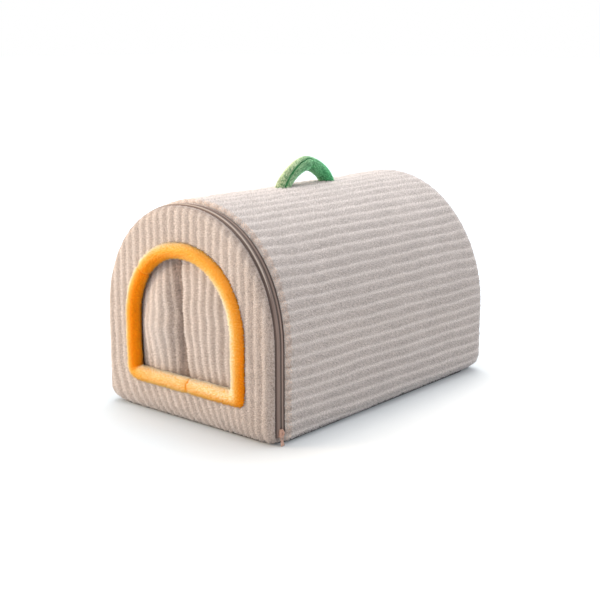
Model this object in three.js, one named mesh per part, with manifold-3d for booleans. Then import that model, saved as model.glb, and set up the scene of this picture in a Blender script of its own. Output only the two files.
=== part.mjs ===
// Soft dog house: a padded vault of wide-wale plush on a dark base, zipped along its front edge to a
// padded front panel. The doorway is edged with a stuffed roll and closed by two hanging flaps, and a
// stuffed loop on the crest is the carrying handle. Millimetres, +Z up, the doorway faces -Y.
import * as THREE from 'three';
import { mergeVertices } from 'three/addons/utils/BufferGeometryUtils.js';
import Module from 'manifold-3d';

const wasm = await Module();
wasm.setup();

// Driving dimensions of the body
const BODY_LENGTH = 580; // front face to back face
const CREST = 360; // top of the vault above the floor
const CORNER_RADIUS = 16; // lower edges of the vault
const WALL_THICK = 24; // vault wall, foam and plush
const PANEL_THICK = 23; // front and back panels, foam and plush
const BASE_THICK = 5; // dark cloth base
const BASE_INSET = 11; // base edge inside the body's outline
const GAP = 0.3; // clearance between pieces that touch
const UNDERSIDE = BASE_THICK + GAP; // lower edge of all that stands on the base
const LEAST_CORNER = 2; // lower edges drawn in past their radius
const CURVE_STEPS = 1200; // fineness of the lengths measured along a curve

// The arch is crisp at the zip and slackens towards the back; its walls curve inwards from the spring
const FRONT_ARCH = { halfWidth: 193, spring: 148, exponent: 2.12 };
const BACK_ARCH = { halfWidth: 202, spring: 122, exponent: 1.98 };

// Wales of the plush: a rounded rib between two narrow furrows
const WALE_HEIGHT = 3.5;
const VAULT_WALES = 54;
const PANEL_WALE_PITCH = 16.6;
const FLAP_WALE_PITCH = 15.5;
const WALE_STEPS = [0, 0.2, 0.5, 0.8]; // points across one wale, from its furrow
const WALE_FADE = 0.8; // share of a wale's height lost where a panel turns over

// Zip round the front edge, lying in a shallow rebate
const PANEL_INSET = 5; // front panel's rim inside the vault's crest line
const ZIP_INSET = 9; // floor of the rebate inside the vault's crest line
const ZIP_SETBACK = 13; // rebate begins this far behind the front face
const TAPE_THICK = 1.2;
const COIL_WIDTH = 5;
const COIL_HEIGHT = 1.9;
const ZIP_STATIONS = 76;
const ZIP_END = 14; // height of the zip's lower ends, just above the rebate's round corner
const SLIDER = { width: 10, height: 12, depth: 4.5, foot: 15 };
const PULL = { width: 7.5, length: 13, thick: 2 };

// Edges of the vault: it swells out of the zip's rebate and draws in to the back seam
const VAULT_FRONT_EDGE = [
  { behind: 0, sink: ZIP_INSET, wale: 0 },
  { behind: 0.8, sink: 3.5, wale: 0.3 },
  { behind: 9, sink: 0, wale: 1 },
];
const VAULT_BACK_EDGE = [
  { before: 8, sink: 0, wale: 1 },
  { before: 0, sink: 3.6, wale: 0.4 },
];
const VAULT_INNER_POINTS = 36;

// Edges of the panels: how deep and how far in each face turns over, and the heights that show it
const FRONT_RIM = { depth: ZIP_SETBACK, reach: 13 };
const FRONT_HEM = { depth: 19, reach: 34 };
const BACK_RIM = { depth: 17, reach: 17 };
const BACK_HEM = { depth: 12, reach: 18 };
const BACK_INSET = 1.5; // back panel's rim inside the vault's outline
const ABOVE_HEM = [0, 3, 12, 32];
const BELOW_RIM = [13, 5, 1.2, 0];
const SIDE_STRIP = 0.7; // width of the last strip at either side of a panel
const RIM_POINTS = 500;
const OVERCUT = 10; // how far a cutting tool reaches past what it cuts

// Doorway: centre line of the stuffed roll that edges it
const DOOR = { halfWidth: 118.5, exponent: 2.1, spring: 155, crest: 283, bottom: 65, corner: 13.5 };
const ROLL_RADIUS = 12.3;
const ROLL_SINK = 3; // roll's centre behind the front face
const ROLL_SIDES = 12;
const ROLL_STATION = 14; // length of one step along the roll
const ROLL_SQUARE = 0.45; // swell of the roll's right lower corner, which is folded square
const SILL_SEAM_X = 12; // seam in the lower run of the roll
const ARCH_SEAM_Z = 241; // seam in the left shoulder of the roll
const SEAM_PINCH = [ // how the roll draws in towards a seam
  { away: 0, share: 0.6 },
  { away: 1.2, share: 0.84 },
  { away: 4, share: 0.95 },
  { away: 9, share: 1 },
];

// Flaps: two curtains sewn to the top of the doorway, parted by a slit that leans to the right
const FLAP_THICK = 4;
const FLAP_HANG = 17; // front of the sewn edge behind the front face
const FLAP_HEM_Z = 71;
const FLAP_HELD = 0.13; // share of the drop that the roll covers
const FLAP_DROPS = [0, FLAP_HELD, 0.26, 0.44, 0.64, 0.83, 1]; // shares of the drop that show its belly
const FLAP_FURROW = 2.5;
const FLAP_SLACK = { drop: 9, from: 45, to: 95 }; // upper edge sags towards the sides of the doorway
const FLAP_EDGE_BELLY = 0.15; // share of the belly left at a flap's side edges
const FLAP_HIGH_BELLY = 0.8; // under 1 sets the belly above the middle of the drop
const SLIT = { topX: -20, bottomX: -2, halfGap: 1.2 };
const FLAPS = [
  { name: 'flap_left', side: -1, reach: 105, bulge: 9, bulgeAt: 0.42, edgeTurn: 5 },
  { name: 'flap_right', side: 1, reach: 105, bulge: 7, bulgeAt: 0.62, edgeTurn: -1 },
];

// Carrying handle: a stuffed loop that runs along the crest
const HANDLE = { y: 17, halfSpan: 65, rise: 48.5, exponent: 1.45, radius: 12, sides: 14, steps: 24 };
const HANDLE_SUNK = 14; // the loop starts this far under the crest, where its feet are cut level
const HANDLE_FIRST_TURN = 0.15; // start of the loop's first section, in radians from its lower end

// The body and the roll in front of it are centred on the origin
const ROLL_PROUD = ROLL_RADIUS - ROLL_SINK;
const FRONT_Y = (ROLL_PROUD - BODY_LENGTH) / 2;
const BACK_Y = FRONT_Y + BODY_LENGTH;
const ZIP_FRONT_Y = FRONT_Y + ZIP_SETBACK;
const ZIP_MID_Y = FRONT_Y + PANEL_THICK;
const ZIP_REAR_Y = 2 * ZIP_MID_Y - ZIP_FRONT_Y;
const VAULT_FRONT_Y = ZIP_MID_Y + GAP;
const VAULT_BACK_Y = BACK_Y - PANEL_THICK - GAP;

// An upright arch from its right foot over the crest to its left foot: round lower corners, straight
// walls and a superelliptic top
class ArchCurve extends THREE.Curve {
  constructor({ halfWidth, exponent, spring, crest, bottom, corner, rightCorner = corner }) {
    super();
    Object.assign(this, { halfWidth, exponent, spring, crest, bottom, corner, rightCorner });
    this.arcLengthDivisions = CURVE_STEPS;
  }

  getPoint(t) {
    const side = t <= 0.5 ? 1 : -1;
    const climb = 1 - Math.abs(2 * t - 1);
    const corner = side > 0 ? this.rightCorner : this.corner;
    const cornerShare = 0.12;
    const wallShare = 0.35;
    if (climb < cornerShare) {
      const turn = (climb / cornerShare) * Math.PI / 2;
      const x = this.halfWidth - corner * (1 - Math.sin(turn));
      return new THREE.Vector3(side * x, 0, this.bottom + corner * (1 - Math.cos(turn)));
    }
    const wallFoot = this.bottom + corner;
    if (climb < wallShare) {
      const share = (climb - cornerShare) / (wallShare - cornerShare);
      return new THREE.Vector3(side * this.halfWidth, 0, THREE.MathUtils.lerp(wallFoot, this.spring, share));
    }
    const turn = ((climb - wallShare) / (1 - wallShare)) * Math.PI / 2;
    const power = 2 / this.exponent;
    const x = this.halfWidth * Math.max(Math.cos(turn), 0) ** power;
    return new THREE.Vector3(side * x, 0, this.spring + (this.crest - this.spring) * Math.sin(turn) ** power);
  }

  // Outward direction across the curve
  getNormalAt(u) {
    const along = this.getTangentAt(u);
    return new THREE.Vector3(along.z, 0, -along.x);
  }

  // Height of the arch at a distance x from its middle line
  heightAt(x) {
    const reach = Math.min(Math.abs(x) / this.halfWidth, 1);
    const share = (1 - reach ** this.exponent) ** (1 / this.exponent);
    return this.spring + (this.crest - this.spring) * share;
  }

  // Height of the lower edge at a distance x from the middle line
  footAt(x) {
    const past = Math.max(Math.abs(x) - (this.halfWidth - this.corner), 0);
    return this.bottom + this.corner - Math.sqrt(Math.max(this.corner ** 2 - past ** 2, 0));
  }
}

// The body's arch at a share of the way from front to back, drawn in by an inset
function bodyArch(share, inset) {
  const between = (size) => THREE.MathUtils.lerp(FRONT_ARCH[size], BACK_ARCH[size], share);
  return new ArchCurve({
    halfWidth: between('halfWidth') - inset,
    exponent: between('exponent'),
    spring: between('spring'),
    crest: CREST - inset,
    bottom: UNDERSIDE,
    corner: Math.max(CORNER_RADIUS - inset, LEAST_CORNER),
  });
}

// The doorway's arch, grown outwards from the roll's centre line
function doorArch(growth) {
  return new ArchCurve({
    ...DOOR,
    halfWidth: DOOR.halfWidth + growth,
    crest: DOOR.crest + growth,
    bottom: DOOR.bottom - growth,
    corner: DOOR.corner + growth,
    rightCorner: DOOR.corner,
  });
}

// Height of a wale, 0 in the furrow and 1 on the rib, at a place across it
function waleRise(phase) {
  return Math.sqrt(Math.max(Math.sin(Math.PI * phase), 0));
}

// Closed solid through a row of like sections, each a closed ring of points
function loft(sections, flatten) {
  const ring = sections[0].length;
  const points = sections.flat();
  const triangles = [];
  for (let s = 0; s + 1 < sections.length; s += 1) {
    for (let i = 0; i < ring; i += 1) {
      const a = s * ring + i;
      const b = s * ring + ((i + 1) % ring);
      triangles.push([a, b, a + ring], [b, b + ring, a + ring]);
    }
  }
  const last = (sections.length - 1) * ring;
  capFaces(sections[0], flatten).forEach(([a, b, c]) => triangles.push([a, c, b]));
  capFaces(sections.at(-1), flatten).forEach(([a, b, c]) => triangles.push([last + a, last + b, last + c]));
  const geometry = new THREE.BufferGeometry().setFromPoints(points);
  geometry.setIndex(triangles.flat());
  return facingOut(geometry);
}

// Triangles across one end section, wound as its ring is
function capFaces(section, flatten) {
  const outline = section.map(flatten);
  const faces = THREE.ShapeUtils.triangulateShape(outline, []);
  const turn = THREE.ShapeUtils.area(outline);
  return faces.map(([a, b, c]) => {
    const area = THREE.ShapeUtils.area([outline[a], outline[b], outline[c]]);
    return area * turn >= 0 ? [a, b, c] : [a, c, b];
  });
}

// Turns every face over if the solid is inside out
function facingOut(geometry) {
  const place = geometry.getAttribute('position');
  const index = geometry.getIndex().array;
  const corner = (i) => new THREE.Vector3().fromBufferAttribute(place, i);
  let volume = 0;
  for (let i = 0; i < index.length; i += 3) {
    const normal = corner(index[i + 1]).cross(corner(index[i + 2]));
    volume += corner(index[i]).dot(normal);
  }
  if (volume < 0) {
    for (let i = 0; i < index.length; i += 3) {
      [index[i + 1], index[i + 2]] = [index[i + 2], index[i + 1]];
    }
  }
  return geometry;
}

const acrossY = (point) => new THREE.Vector2(point.x, point.z);
const acrossX = (point) => new THREE.Vector2(point.y, point.z);
const acrossZ = (point) => new THREE.Vector2(point.x, point.y);

// Solid for joining and cutting
function toSolid(geometry) {
  const bare = geometry.clone();
  bare.deleteAttribute('normal');
  bare.deleteAttribute('uv');
  const merged = mergeVertices(bare, 1e-4);
  const vertProperties = new Float32Array(merged.getAttribute('position').array);
  const triVerts = new Uint32Array(merged.getIndex().array);
  return new wasm.Manifold(new wasm.Mesh({ numProp: 3, vertProperties, triVerts }));
}

// Geometry of a joined or cut solid
function fromSolid(solid) {
  const { vertProperties, triVerts } = solid.getMesh();
  const geometry = new THREE.BufferGeometry();
  geometry.setAttribute('position', new THREE.BufferAttribute(new Float32Array(vertProperties), 3));
  geometry.setIndex(Array.from(triVerts));
  return geometry;
}

// Prism along Y from an outline in the upright plane
function uprightPrism(outline, fromY, toY) {
  const ringAt = (y) => outline.map((point) => new THREE.Vector3(point.x, y, point.z));
  return loft([ringAt(fromY), ringAt(toY)], acrossY);
}

// Vault: the wall between its plush outside, with wales from front to back, and its plain inside
function vaultCover() {
  const stations = [
    { y: VAULT_FRONT_Y, sink: ZIP_INSET, wale: 0 },
    ...VAULT_FRONT_EDGE.map(({ behind, ...edge }) => ({ y: ZIP_REAR_Y + behind, ...edge })),
    ...VAULT_BACK_EDGE.map(({ before, ...edge }) => ({ y: VAULT_BACK_Y - before, ...edge })),
  ];
  const sections = stations.map(({ y, sink, wale }) => {
    const share = THREE.MathUtils.clamp((y - ZIP_REAR_Y) / (VAULT_BACK_Y - ZIP_REAR_Y), 0, 1);
    const outside = bodyArch(share, sink);
    const inside = bodyArch(share, WALL_THICK);
    const section = [];
    for (let rib = 0; rib < VAULT_WALES; rib += 1) {
      for (const step of WALE_STEPS) {
        const u = (rib + step) / VAULT_WALES;
        const depth = wale * WALE_HEIGHT * (1 - waleRise(step));
        section.push(outside.getPointAt(u).addScaledVector(outside.getNormalAt(u), -depth).setY(y));
      }
    }
    section.push(outside.getPointAt(1).setY(y));
    for (let i = VAULT_INNER_POINTS; i >= 0; i -= 1) {
      section.push(inside.getPointAt(i / VAULT_INNER_POINTS).setY(y));
    }
    section.forEach((point) => point.setZ(Math.max(point.z, UNDERSIDE)));
    return section;
  });
  return loft(sections, acrossY);
}

// How far a face falls back towards its edge, along an elliptic round of a given depth and reach
function fallBack(distance, { depth, reach }) {
  const share = Math.min(distance / reach, 1);
  return depth * (1 - Math.sqrt(1 - (1 - share) ** 2));
}

// Padded panel with upright wales: a slab whose face rounds over at the rim and curls under at the hem
function paddedPanel(arch, faceY, facing, rim, hem) {
  const rimPoints = arch.getSpacedPoints(RIM_POINTS);
  const toRim = (x, z) => Math.min(...rimPoints.map((point) => Math.hypot(point.x - x, point.z - z)));
  const turnOver = Math.max(rim.depth, hem.depth);
  const columns = [-arch.halfWidth, SIDE_STRIP - arch.halfWidth];
  const wales = Math.ceil(arch.halfWidth / PANEL_WALE_PITCH);
  for (let rib = -wales; rib < wales; rib += 1) {
    for (const step of WALE_STEPS) {
      const x = (rib + step) * PANEL_WALE_PITCH;
      if (Math.abs(x) < arch.halfWidth - 2 * SIDE_STRIP) columns.push(x);
    }
  }
  columns.push(arch.halfWidth - SIDE_STRIP, arch.halfWidth);
  const backY = faceY + facing * PANEL_THICK;
  const sections = columns.map((x) => {
    const foot = arch.footAt(x);
    const top = arch.heightAt(x);
    const heights = [...ABOVE_HEM.map((h) => foot + h), ...BELOW_RIM.map((h) => top - h)];
    const across = x / PANEL_WALE_PITCH;
    const furrow = WALE_HEIGHT * (1 - waleRise(across - Math.floor(across)));
    const face = heights.map((z) => {
      const edge = fallBack(toRim(x, z), rim);
      const curl = fallBack(z - foot, hem);
      const fall = Math.min(Math.hypot(edge, curl), turnOver);
      const depth = fall + furrow * (1 - WALE_FADE * fall / turnOver);
      return new THREE.Vector3(x, faceY + facing * depth, z);
    });
    return [...face, new THREE.Vector3(x, backY, top), new THREE.Vector3(x, backY, foot)];
  });
  return loft(sections, acrossX);
}

// Front panel: the padded slab with the zip's rebate round its rim and the doorway cut through
function frontPanel() {
  const outsidePoints = 40;
  const ledgePoints = 90;
  const doorPoints = 80;
  const slab = toSolid(paddedPanel(bodyArch(0, PANEL_INSET), FRONT_Y, 1, FRONT_RIM, FRONT_HEM));
  const outside = bodyArch(0, -OVERCUT).getSpacedPoints(outsidePoints);
  const ledge = bodyArch(0, ZIP_INSET).getSpacedPoints(ledgePoints).reverse();
  [outside[0], outside.at(-1)].forEach((point) => point.set(Math.sign(point.x) * CREST, 0, -OVERCUT));
  [ledge[0], ledge.at(-1)].forEach((point) => point.setZ(-OVERCUT));
  const rebate = uprightPrism([...outside, ...ledge], ZIP_FRONT_Y, ZIP_MID_Y + OVERCUT);
  const doorOutline = doorArch(ROLL_RADIUS + 2 * GAP).getSpacedPoints(doorPoints);
  const doorway = uprightPrism(doorOutline, FRONT_Y - OVERCUT, ZIP_MID_Y + OVERCUT);
  return fromSolid(slab.subtract(toSolid(rebate)).subtract(toSolid(doorway)));
}

// Back panel: the same plush slab, whole
function backPanel() {
  return paddedPanel(bodyArch(1, BACK_INSET), BACK_Y, -1, BACK_RIM, BACK_HEM);
}

// Base: a thin flat panel with round corners under the whole body
function basePanel() {
  const halfWidth = FRONT_ARCH.halfWidth - BASE_INSET;
  const halfLength = BODY_LENGTH / 2 - BASE_INSET - PANEL_INSET;
  const radius = CORNER_RADIUS;
  const outline = new THREE.Shape();
  outline.absarc(halfWidth - radius, halfLength - radius, radius, 0, Math.PI / 2);
  outline.absarc(radius - halfWidth, halfLength - radius, radius, Math.PI / 2, Math.PI);
  outline.absarc(radius - halfWidth, radius - halfLength, radius, Math.PI, 1.5 * Math.PI);
  outline.absarc(halfWidth - radius, radius - halfLength, radius, 1.5 * Math.PI, 2 * Math.PI);
  const thickness = { depth: BASE_THICK, bevelEnabled: false, curveSegments: 6 };
  const geometry = new THREE.ExtrudeGeometry(outline, thickness);
  return geometry.translate(0, (FRONT_Y + BACK_Y) / 2, 0);
}

// Band that follows the zip's rebate: its section is given by height above the rebate's floor and by y
function zipBand(section, fromHeight, toHeight) {
  const course = bodyArch(0, ZIP_INSET);
  const cornerRun = course.corner * (Math.PI / 2 - 1); // the round corner is longer than it is high
  const climb = (height) => (height - UNDERSIDE + cornerRun) / course.getLength();
  const from = climb(fromHeight);
  const to = 1 - climb(toHeight);
  const sections = [];
  for (let i = 0; i <= ZIP_STATIONS; i += 1) {
    const u = THREE.MathUtils.lerp(from, to, i / ZIP_STATIONS);
    const floor = course.getPointAt(u);
    const out = course.getNormalAt(u);
    sections.push(section.map(({ height, y }) => floor.clone().addScaledVector(out, height).setY(y)));
  }
  return loft(sections, acrossZ);
}

function zipTape(fromY, toY) {
  const low = GAP;
  const high = GAP + TAPE_THICK;
  const section = [
    { height: low, y: fromY },
    { height: high, y: fromY },
    { height: high, y: toY },
    { height: low, y: toY },
  ];
  return zipBand(section, ZIP_END, ZIP_END);
}

function zipCoil() {
  const low = 2 * GAP + TAPE_THICK;
  const section = [];
  const sides = 3;
  for (let i = 0; i <= sides; i += 1) {
    const turn = (i / sides) * Math.PI;
    const y = ZIP_MID_Y - (COIL_WIDTH / 2) * Math.cos(turn);
    section.push({ height: low + COIL_HEIGHT * Math.sin(turn), y });
  }
  return zipBand(section, SLIDER.foot + SLIDER.height + GAP, ZIP_END);
}

// Upright plate with round ends, standing on the tape at the right foot of the zip
function zipPlate(width, height, thick, outset, foot) {
  const outline = new THREE.Shape();
  const radius = width / 2;
  outline.absarc(0, height - radius, radius, 0, Math.PI);
  outline.absarc(0, radius, radius, Math.PI, 2 * Math.PI);
  const thickness = { depth: thick, bevelEnabled: false, curveSegments: 6 };
  const geometry = new THREE.ExtrudeGeometry(outline, thickness);
  geometry.rotateX(Math.PI / 2).rotateZ(Math.PI / 2);
  const tapeX = FRONT_ARCH.halfWidth - ZIP_INSET + GAP + TAPE_THICK;
  return geometry.translate(tapeX + outset, ZIP_MID_Y, foot);
}

// Loop of the roll's centre line: along the sill to the right, over the arch and back to the seam
function rollPath() {
  const arch = doorArch(0);
  const seam = new THREE.Vector3(SILL_SEAM_X, 0, DOOR.bottom);
  const path = new THREE.CurvePath();
  path.add(new THREE.LineCurve3(seam, arch.getPoint(0)));
  path.add(arch);
  path.add(new THREE.LineCurve3(arch.getPoint(1), seam));
  path.arcLengthDivisions = CURVE_STEPS;
  return path;
}

// Share of the loop at which it passes the seam in the left shoulder
function archSeamShare(path) {
  const step = 0.0005;
  let share = 0.5;
  while (path.getPointAt(share).z > ARCH_SEAM_Z || path.getPointAt(share).x > 0) {
    share += step;
  }
  return share;
}

// Stuffed roll between two shares of the loop, drawn in at both ends by its seams
function doorRoll(path, from, to) {
  const length = path.getLength();
  const start = from * length + GAP / 2;
  const end = to * length - GAP / 2;
  const lastPinch = SEAM_PINCH.at(-1).away;
  const plain = Math.round((end - start - 2 * lastPinch) / ROLL_STATION);
  const places = SEAM_PINCH.map(({ away, share }) => ({ at: start + away, share }));
  for (let i = 1; i < plain; i += 1) {
    places.push({ at: THREE.MathUtils.lerp(start + lastPinch, end - lastPinch, i / plain), share: 1 });
  }
  [...SEAM_PINCH].reverse().forEach(({ away, share }) => places.push({ at: end - away, share }));
  const rightCorner = new THREE.Vector3(DOOR.halfWidth, 0, DOOR.bottom);
  const sections = places.map(({ at, share }) => {
    const centre = path.getPointAt(at / length);
    const along = path.getTangentAt(at / length);
    const out = new THREE.Vector3(along.z, 0, -along.x);
    const square = Math.max(1 - centre.distanceTo(rightCorner) / DOOR.corner, 0);
    const ring = [];
    for (let i = 0; i < ROLL_SIDES; i += 1) {
      const turn = (i / ROLL_SIDES) * 2 * Math.PI;
      const swell = 1 + ROLL_SQUARE * square * Math.max(Math.cos(turn), 0);
      const point = centre.clone().setY(FRONT_Y + ROLL_SINK);
      point.addScaledVector(out, share * swell * ROLL_RADIUS * Math.cos(turn));
      point.y += share * ROLL_RADIUS * Math.sin(turn);
      ring.push(point);
    }
    return ring;
  });
  return loft(sections, (point) => new THREE.Vector2(point.y, Math.hypot(point.x, point.z)));
}

// Hanging flap: a ribbed sheet sewn along the top of the doorway, bellied out and free at its sides
function doorFlap({ side, reach, bulge, bulgeAt, edgeTurn }) {
  const arch = doorArch(ROLL_RADIUS + GAP);
  const slitAt = (drop) => THREE.MathUtils.lerp(SLIT.topX, SLIT.bottomX, drop) + side * SLIT.halfGap;
  const wales = Math.round(reach / FLAP_WALE_PITCH);
  const columns = [];
  for (let rib = 0; rib < wales; rib += 1) {
    WALE_STEPS.forEach((step) => columns.push((rib + step) / wales));
  }
  columns.push(1);
  const sections = columns.map((across) => {
    const plainX = THREE.MathUtils.lerp(side * reach, slitAt(0), across);
    const sideways = THREE.MathUtils.smoothstep(Math.abs(plainX), FLAP_SLACK.from, FLAP_SLACK.to);
    const slack = FLAP_SLACK.drop * sideways;
    const top = arch.heightAt(plainX) - GAP - slack;
    const wave = Math.sin(Math.PI * across ** (Math.log(0.5) / Math.log(bulgeAt)));
    const belly = THREE.MathUtils.lerp(FLAP_EDGE_BELLY, 1, wave);
    const phase = across * wales;
    const rise = waleRise(phase - Math.floor(phase));
    const placeAt = (drop) => {
      const x = THREE.MathUtils.lerp(side * reach, slitAt(drop), across);
      const free = Math.max(drop - FLAP_HELD, 0) / (1 - FLAP_HELD);
      const hang = Math.sin(Math.PI * free ** FLAP_HIGH_BELLY);
      const y = FRONT_Y + FLAP_HANG - bulge * belly * hang + edgeTurn * across ** 4 * hang;
      return new THREE.Vector3(x, y, THREE.MathUtils.lerp(top, FLAP_HEM_Z, drop));
    };
    const front = FLAP_DROPS.map((drop) => {
      const furrow = FLAP_FURROW * (1 - rise) * Math.min(drop / (2 * FLAP_HELD), 1);
      return placeAt(drop).add(new THREE.Vector3(0, furrow, 0));
    });
    const rear = FLAP_DROPS.map((drop) => placeAt(drop).add(new THREE.Vector3(0, FLAP_THICK, 0)));
    return [...front, ...rear.reverse()];
  });
  return loft(sections, acrossX);
}

// Handle: a stuffed tube bent into a loop with leaning legs, its feet cut level on the crest
function carryHandle() {
  const { y, halfSpan, rise, exponent, radius, sides, steps } = HANDLE;
  const footZ = CREST + GAP;
  const power = 2 / exponent;
  const sections = [];
  for (let i = 0; i <= steps; i += 1) {
    const turn = THREE.MathUtils.lerp(HANDLE_FIRST_TURN, Math.PI - HANDLE_FIRST_TURN, i / steps);
    const side = Math.cos(turn);
    const reach = Math.sign(side) * Math.abs(side) ** power;
    const climb = Math.sin(turn) ** power;
    const along = halfSpan * Math.abs(side) ** (power - 1) * Math.sin(turn);
    const upward = rise * Math.sin(turn) ** (power - 1) * side;
    const out = new THREE.Vector3(0, -upward, along).normalize();
    const centre = new THREE.Vector3(0, y - halfSpan * reach, footZ - HANDLE_SUNK + rise * climb);
    const ring = [];
    for (let k = 0; k < sides; k += 1) {
      const round = (k / sides) * 2 * Math.PI;
      const point = centre.clone().addScaledVector(out, radius * Math.cos(round));
      point.x += radius * Math.sin(round);
      ring.push(point);
    }
    sections.push(ring);
  }
  const tube = toSolid(loft(sections, acrossZ));
  return fromSolid(tube.trimByPlane([0, 0, 1], footZ));
}

// Matt surface of a colour: deep plush unless a lower roughness is given
function matt(color, roughness = 0.95) {
  return new THREE.MeshStandardMaterial({ color, roughness, metalness: 0 });
}

const house = new THREE.Group();

function addPiece(name, geometry, material) {
  const mesh = new THREE.Mesh(geometry, material);
  mesh.name = name;
  house.add(mesh);
}

const DARK_BROWN = 0x4a443f;
const BEIGE = 0xcdbfb2;
addPiece('base_panel', basePanel(), matt(DARK_BROWN));
addPiece('vault_cover', vaultCover(), matt(BEIGE));
addPiece('back_panel', backPanel(), matt(BEIGE));
addPiece('front_panel', frontPanel(), matt(BEIGE));

const TAUPE = 0x6e625c;
const DARK_TAUPE = 0x5a504b;
const ROSE_BEIGE = 0xc9a796;
const sliderPlate = zipPlate(SLIDER.width, SLIDER.height, SLIDER.depth, GAP, SLIDER.foot);
const pullPlate = zipPlate(PULL.width, PULL.length, PULL.thick, 2 * GAP, SLIDER.foot - GAP - PULL.length);
addPiece('zip_tape_front', zipTape(ZIP_FRONT_Y + GAP, ZIP_MID_Y - GAP / 2), matt(TAUPE, 0.8));
addPiece('zip_tape_rear', zipTape(ZIP_MID_Y + GAP / 2, ZIP_REAR_Y - GAP), matt(TAUPE, 0.8));
addPiece('zip_coil', zipCoil(), matt(DARK_TAUPE, 0.6));
addPiece('zip_slider', sliderPlate, matt(ROSE_BEIGE, 0.5));
addPiece('zip_pull', pullPlate, matt(ROSE_BEIGE, 0.5));

const ORANGE = 0xf59a1e;
const GREEN = 0x6fa06a;
const loop = rollPath();
const archSeam = archSeamShare(loop);
addPiece('door_roll_right', doorRoll(loop, 0, archSeam), matt(ORANGE));
addPiece('door_roll_left', doorRoll(loop, archSeam, 1), matt(ORANGE));

FLAPS.forEach((flap) => addPiece(flap.name, doorFlap(flap), matt(BEIGE)));
addPiece('handle', carryHandle(), matt(GREEN));

export default house;
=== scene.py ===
import math

import bpy
import numpy as np
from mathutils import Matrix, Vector


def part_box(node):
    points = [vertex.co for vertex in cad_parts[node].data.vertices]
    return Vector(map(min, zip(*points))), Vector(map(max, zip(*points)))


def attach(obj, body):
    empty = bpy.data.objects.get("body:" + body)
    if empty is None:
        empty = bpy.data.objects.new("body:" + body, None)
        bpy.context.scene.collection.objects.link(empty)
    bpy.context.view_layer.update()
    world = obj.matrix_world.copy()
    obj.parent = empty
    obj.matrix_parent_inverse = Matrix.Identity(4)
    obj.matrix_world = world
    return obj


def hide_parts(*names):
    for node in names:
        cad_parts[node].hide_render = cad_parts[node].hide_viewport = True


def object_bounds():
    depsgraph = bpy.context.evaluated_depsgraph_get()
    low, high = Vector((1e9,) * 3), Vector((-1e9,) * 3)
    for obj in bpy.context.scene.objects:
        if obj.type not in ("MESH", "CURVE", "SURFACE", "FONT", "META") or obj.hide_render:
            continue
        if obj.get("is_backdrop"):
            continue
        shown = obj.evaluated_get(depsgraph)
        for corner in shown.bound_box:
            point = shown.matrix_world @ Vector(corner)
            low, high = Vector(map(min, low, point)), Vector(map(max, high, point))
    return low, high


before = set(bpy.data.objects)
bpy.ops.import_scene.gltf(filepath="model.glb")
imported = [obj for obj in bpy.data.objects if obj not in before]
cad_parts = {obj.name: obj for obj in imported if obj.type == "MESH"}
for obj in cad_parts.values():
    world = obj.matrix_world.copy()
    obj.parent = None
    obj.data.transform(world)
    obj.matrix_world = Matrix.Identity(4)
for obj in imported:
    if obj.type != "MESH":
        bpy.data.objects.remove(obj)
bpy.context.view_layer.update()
bpy.ops.object.select_all(action="DESELECT")


# Camera: it stands off the right of the doorway, a little above the crest, at the photograph's angle.
CAMERA_PLACE = (1.2688, -1.4921, 0.6073)
CAMERA_AZIMUTH = math.radians(40.328)
CAMERA_ELEVATION = math.radians(13.022)
CAMERA_LENS = 68.12
CAMERA_SENSOR = 36.0
camera_turn = (math.pi / 2 - CAMERA_ELEVATION, 0, CAMERA_AZIMUTH)
bpy.ops.object.camera_add(location=CAMERA_PLACE, rotation=camera_turn)
camera = bpy.context.object
camera.data.lens = CAMERA_LENS
camera.data.sensor_width = CAMERA_SENSOR
bpy.context.scene.camera = camera


# Base: a stiff board in dark woven cloth, sewn under the vault and the two end panels. It carries the
# whole house, and only its edge shows as a thin dark line.
BASE_CORNER = {"offset": 0.034, "segments": 8}
BASE_EDGE = {"width": 0.0014, "segments": 3}
BASE_THREAD = {"Scale": 900.0, "Distortion": 0.6}
BASE_RELIEF = {"Strength": 0.4, "Distance": 0.0004}
BASE_FINISH = {"Roughness": 0.9, "Sheen Weight": 0.2}
BASE_DARK = (0.030, 0.024, 0.020, 1)
BASE_LIGHT = (0.075, 0.062, 0.053, 1)


def add_block(place, size):
    """A new block of a size, its middle at a place."""
    bpy.ops.object.select_all(action="DESELECT")
    bpy.ops.mesh.primitive_cube_add(size=1, location=place, scale=size)
    bpy.ops.object.transform_apply(location=True, rotation=True, scale=True)
    return bpy.context.object


def choose(piece, kind, parts, wanted):
    """Edit mode on a piece with only its wanted edges or faces chosen."""
    bpy.ops.object.mode_set(mode="EDIT")
    bpy.ops.mesh.select_mode(type=kind)
    bpy.ops.mesh.select_all(action="DESELECT")
    bpy.ops.object.mode_set(mode="OBJECT")
    for part in getattr(piece.data, parts):
        part.select = wanted(part)
    bpy.ops.object.mode_set(mode="EDIT")


def is_upright(edge):
    """Whether an edge is one of the base's four upright corners."""
    first, second = (base.data.vertices[end].co.z for end in edge.vertices)
    return abs(first - second) > BASE_EDGE["width"]


def new_material(name):
    """A new material, its node tree and its shader."""
    material = bpy.data.materials.new(name)
    material.use_nodes = True
    return material, material.node_tree, material.node_tree.nodes["Principled BSDF"]


def feed(node, inputs):
    """Gives each input of a node a value or another node's output."""
    for socket, value in inputs.items():
        if isinstance(value, bpy.types.NodeSocket):
            node.id_data.links.new(value, node.inputs[socket])
        else:
            node.inputs[socket].default_value = value


def add_node(tree, kind, output, inputs, **settings):
    """An output of a new node with these inputs and settings."""
    node = tree.nodes.new(f"ShaderNode{kind}")
    for key, value in settings.items():
        setattr(node, key, value)
    feed(node, inputs)
    return node.outputs[output]


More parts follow.
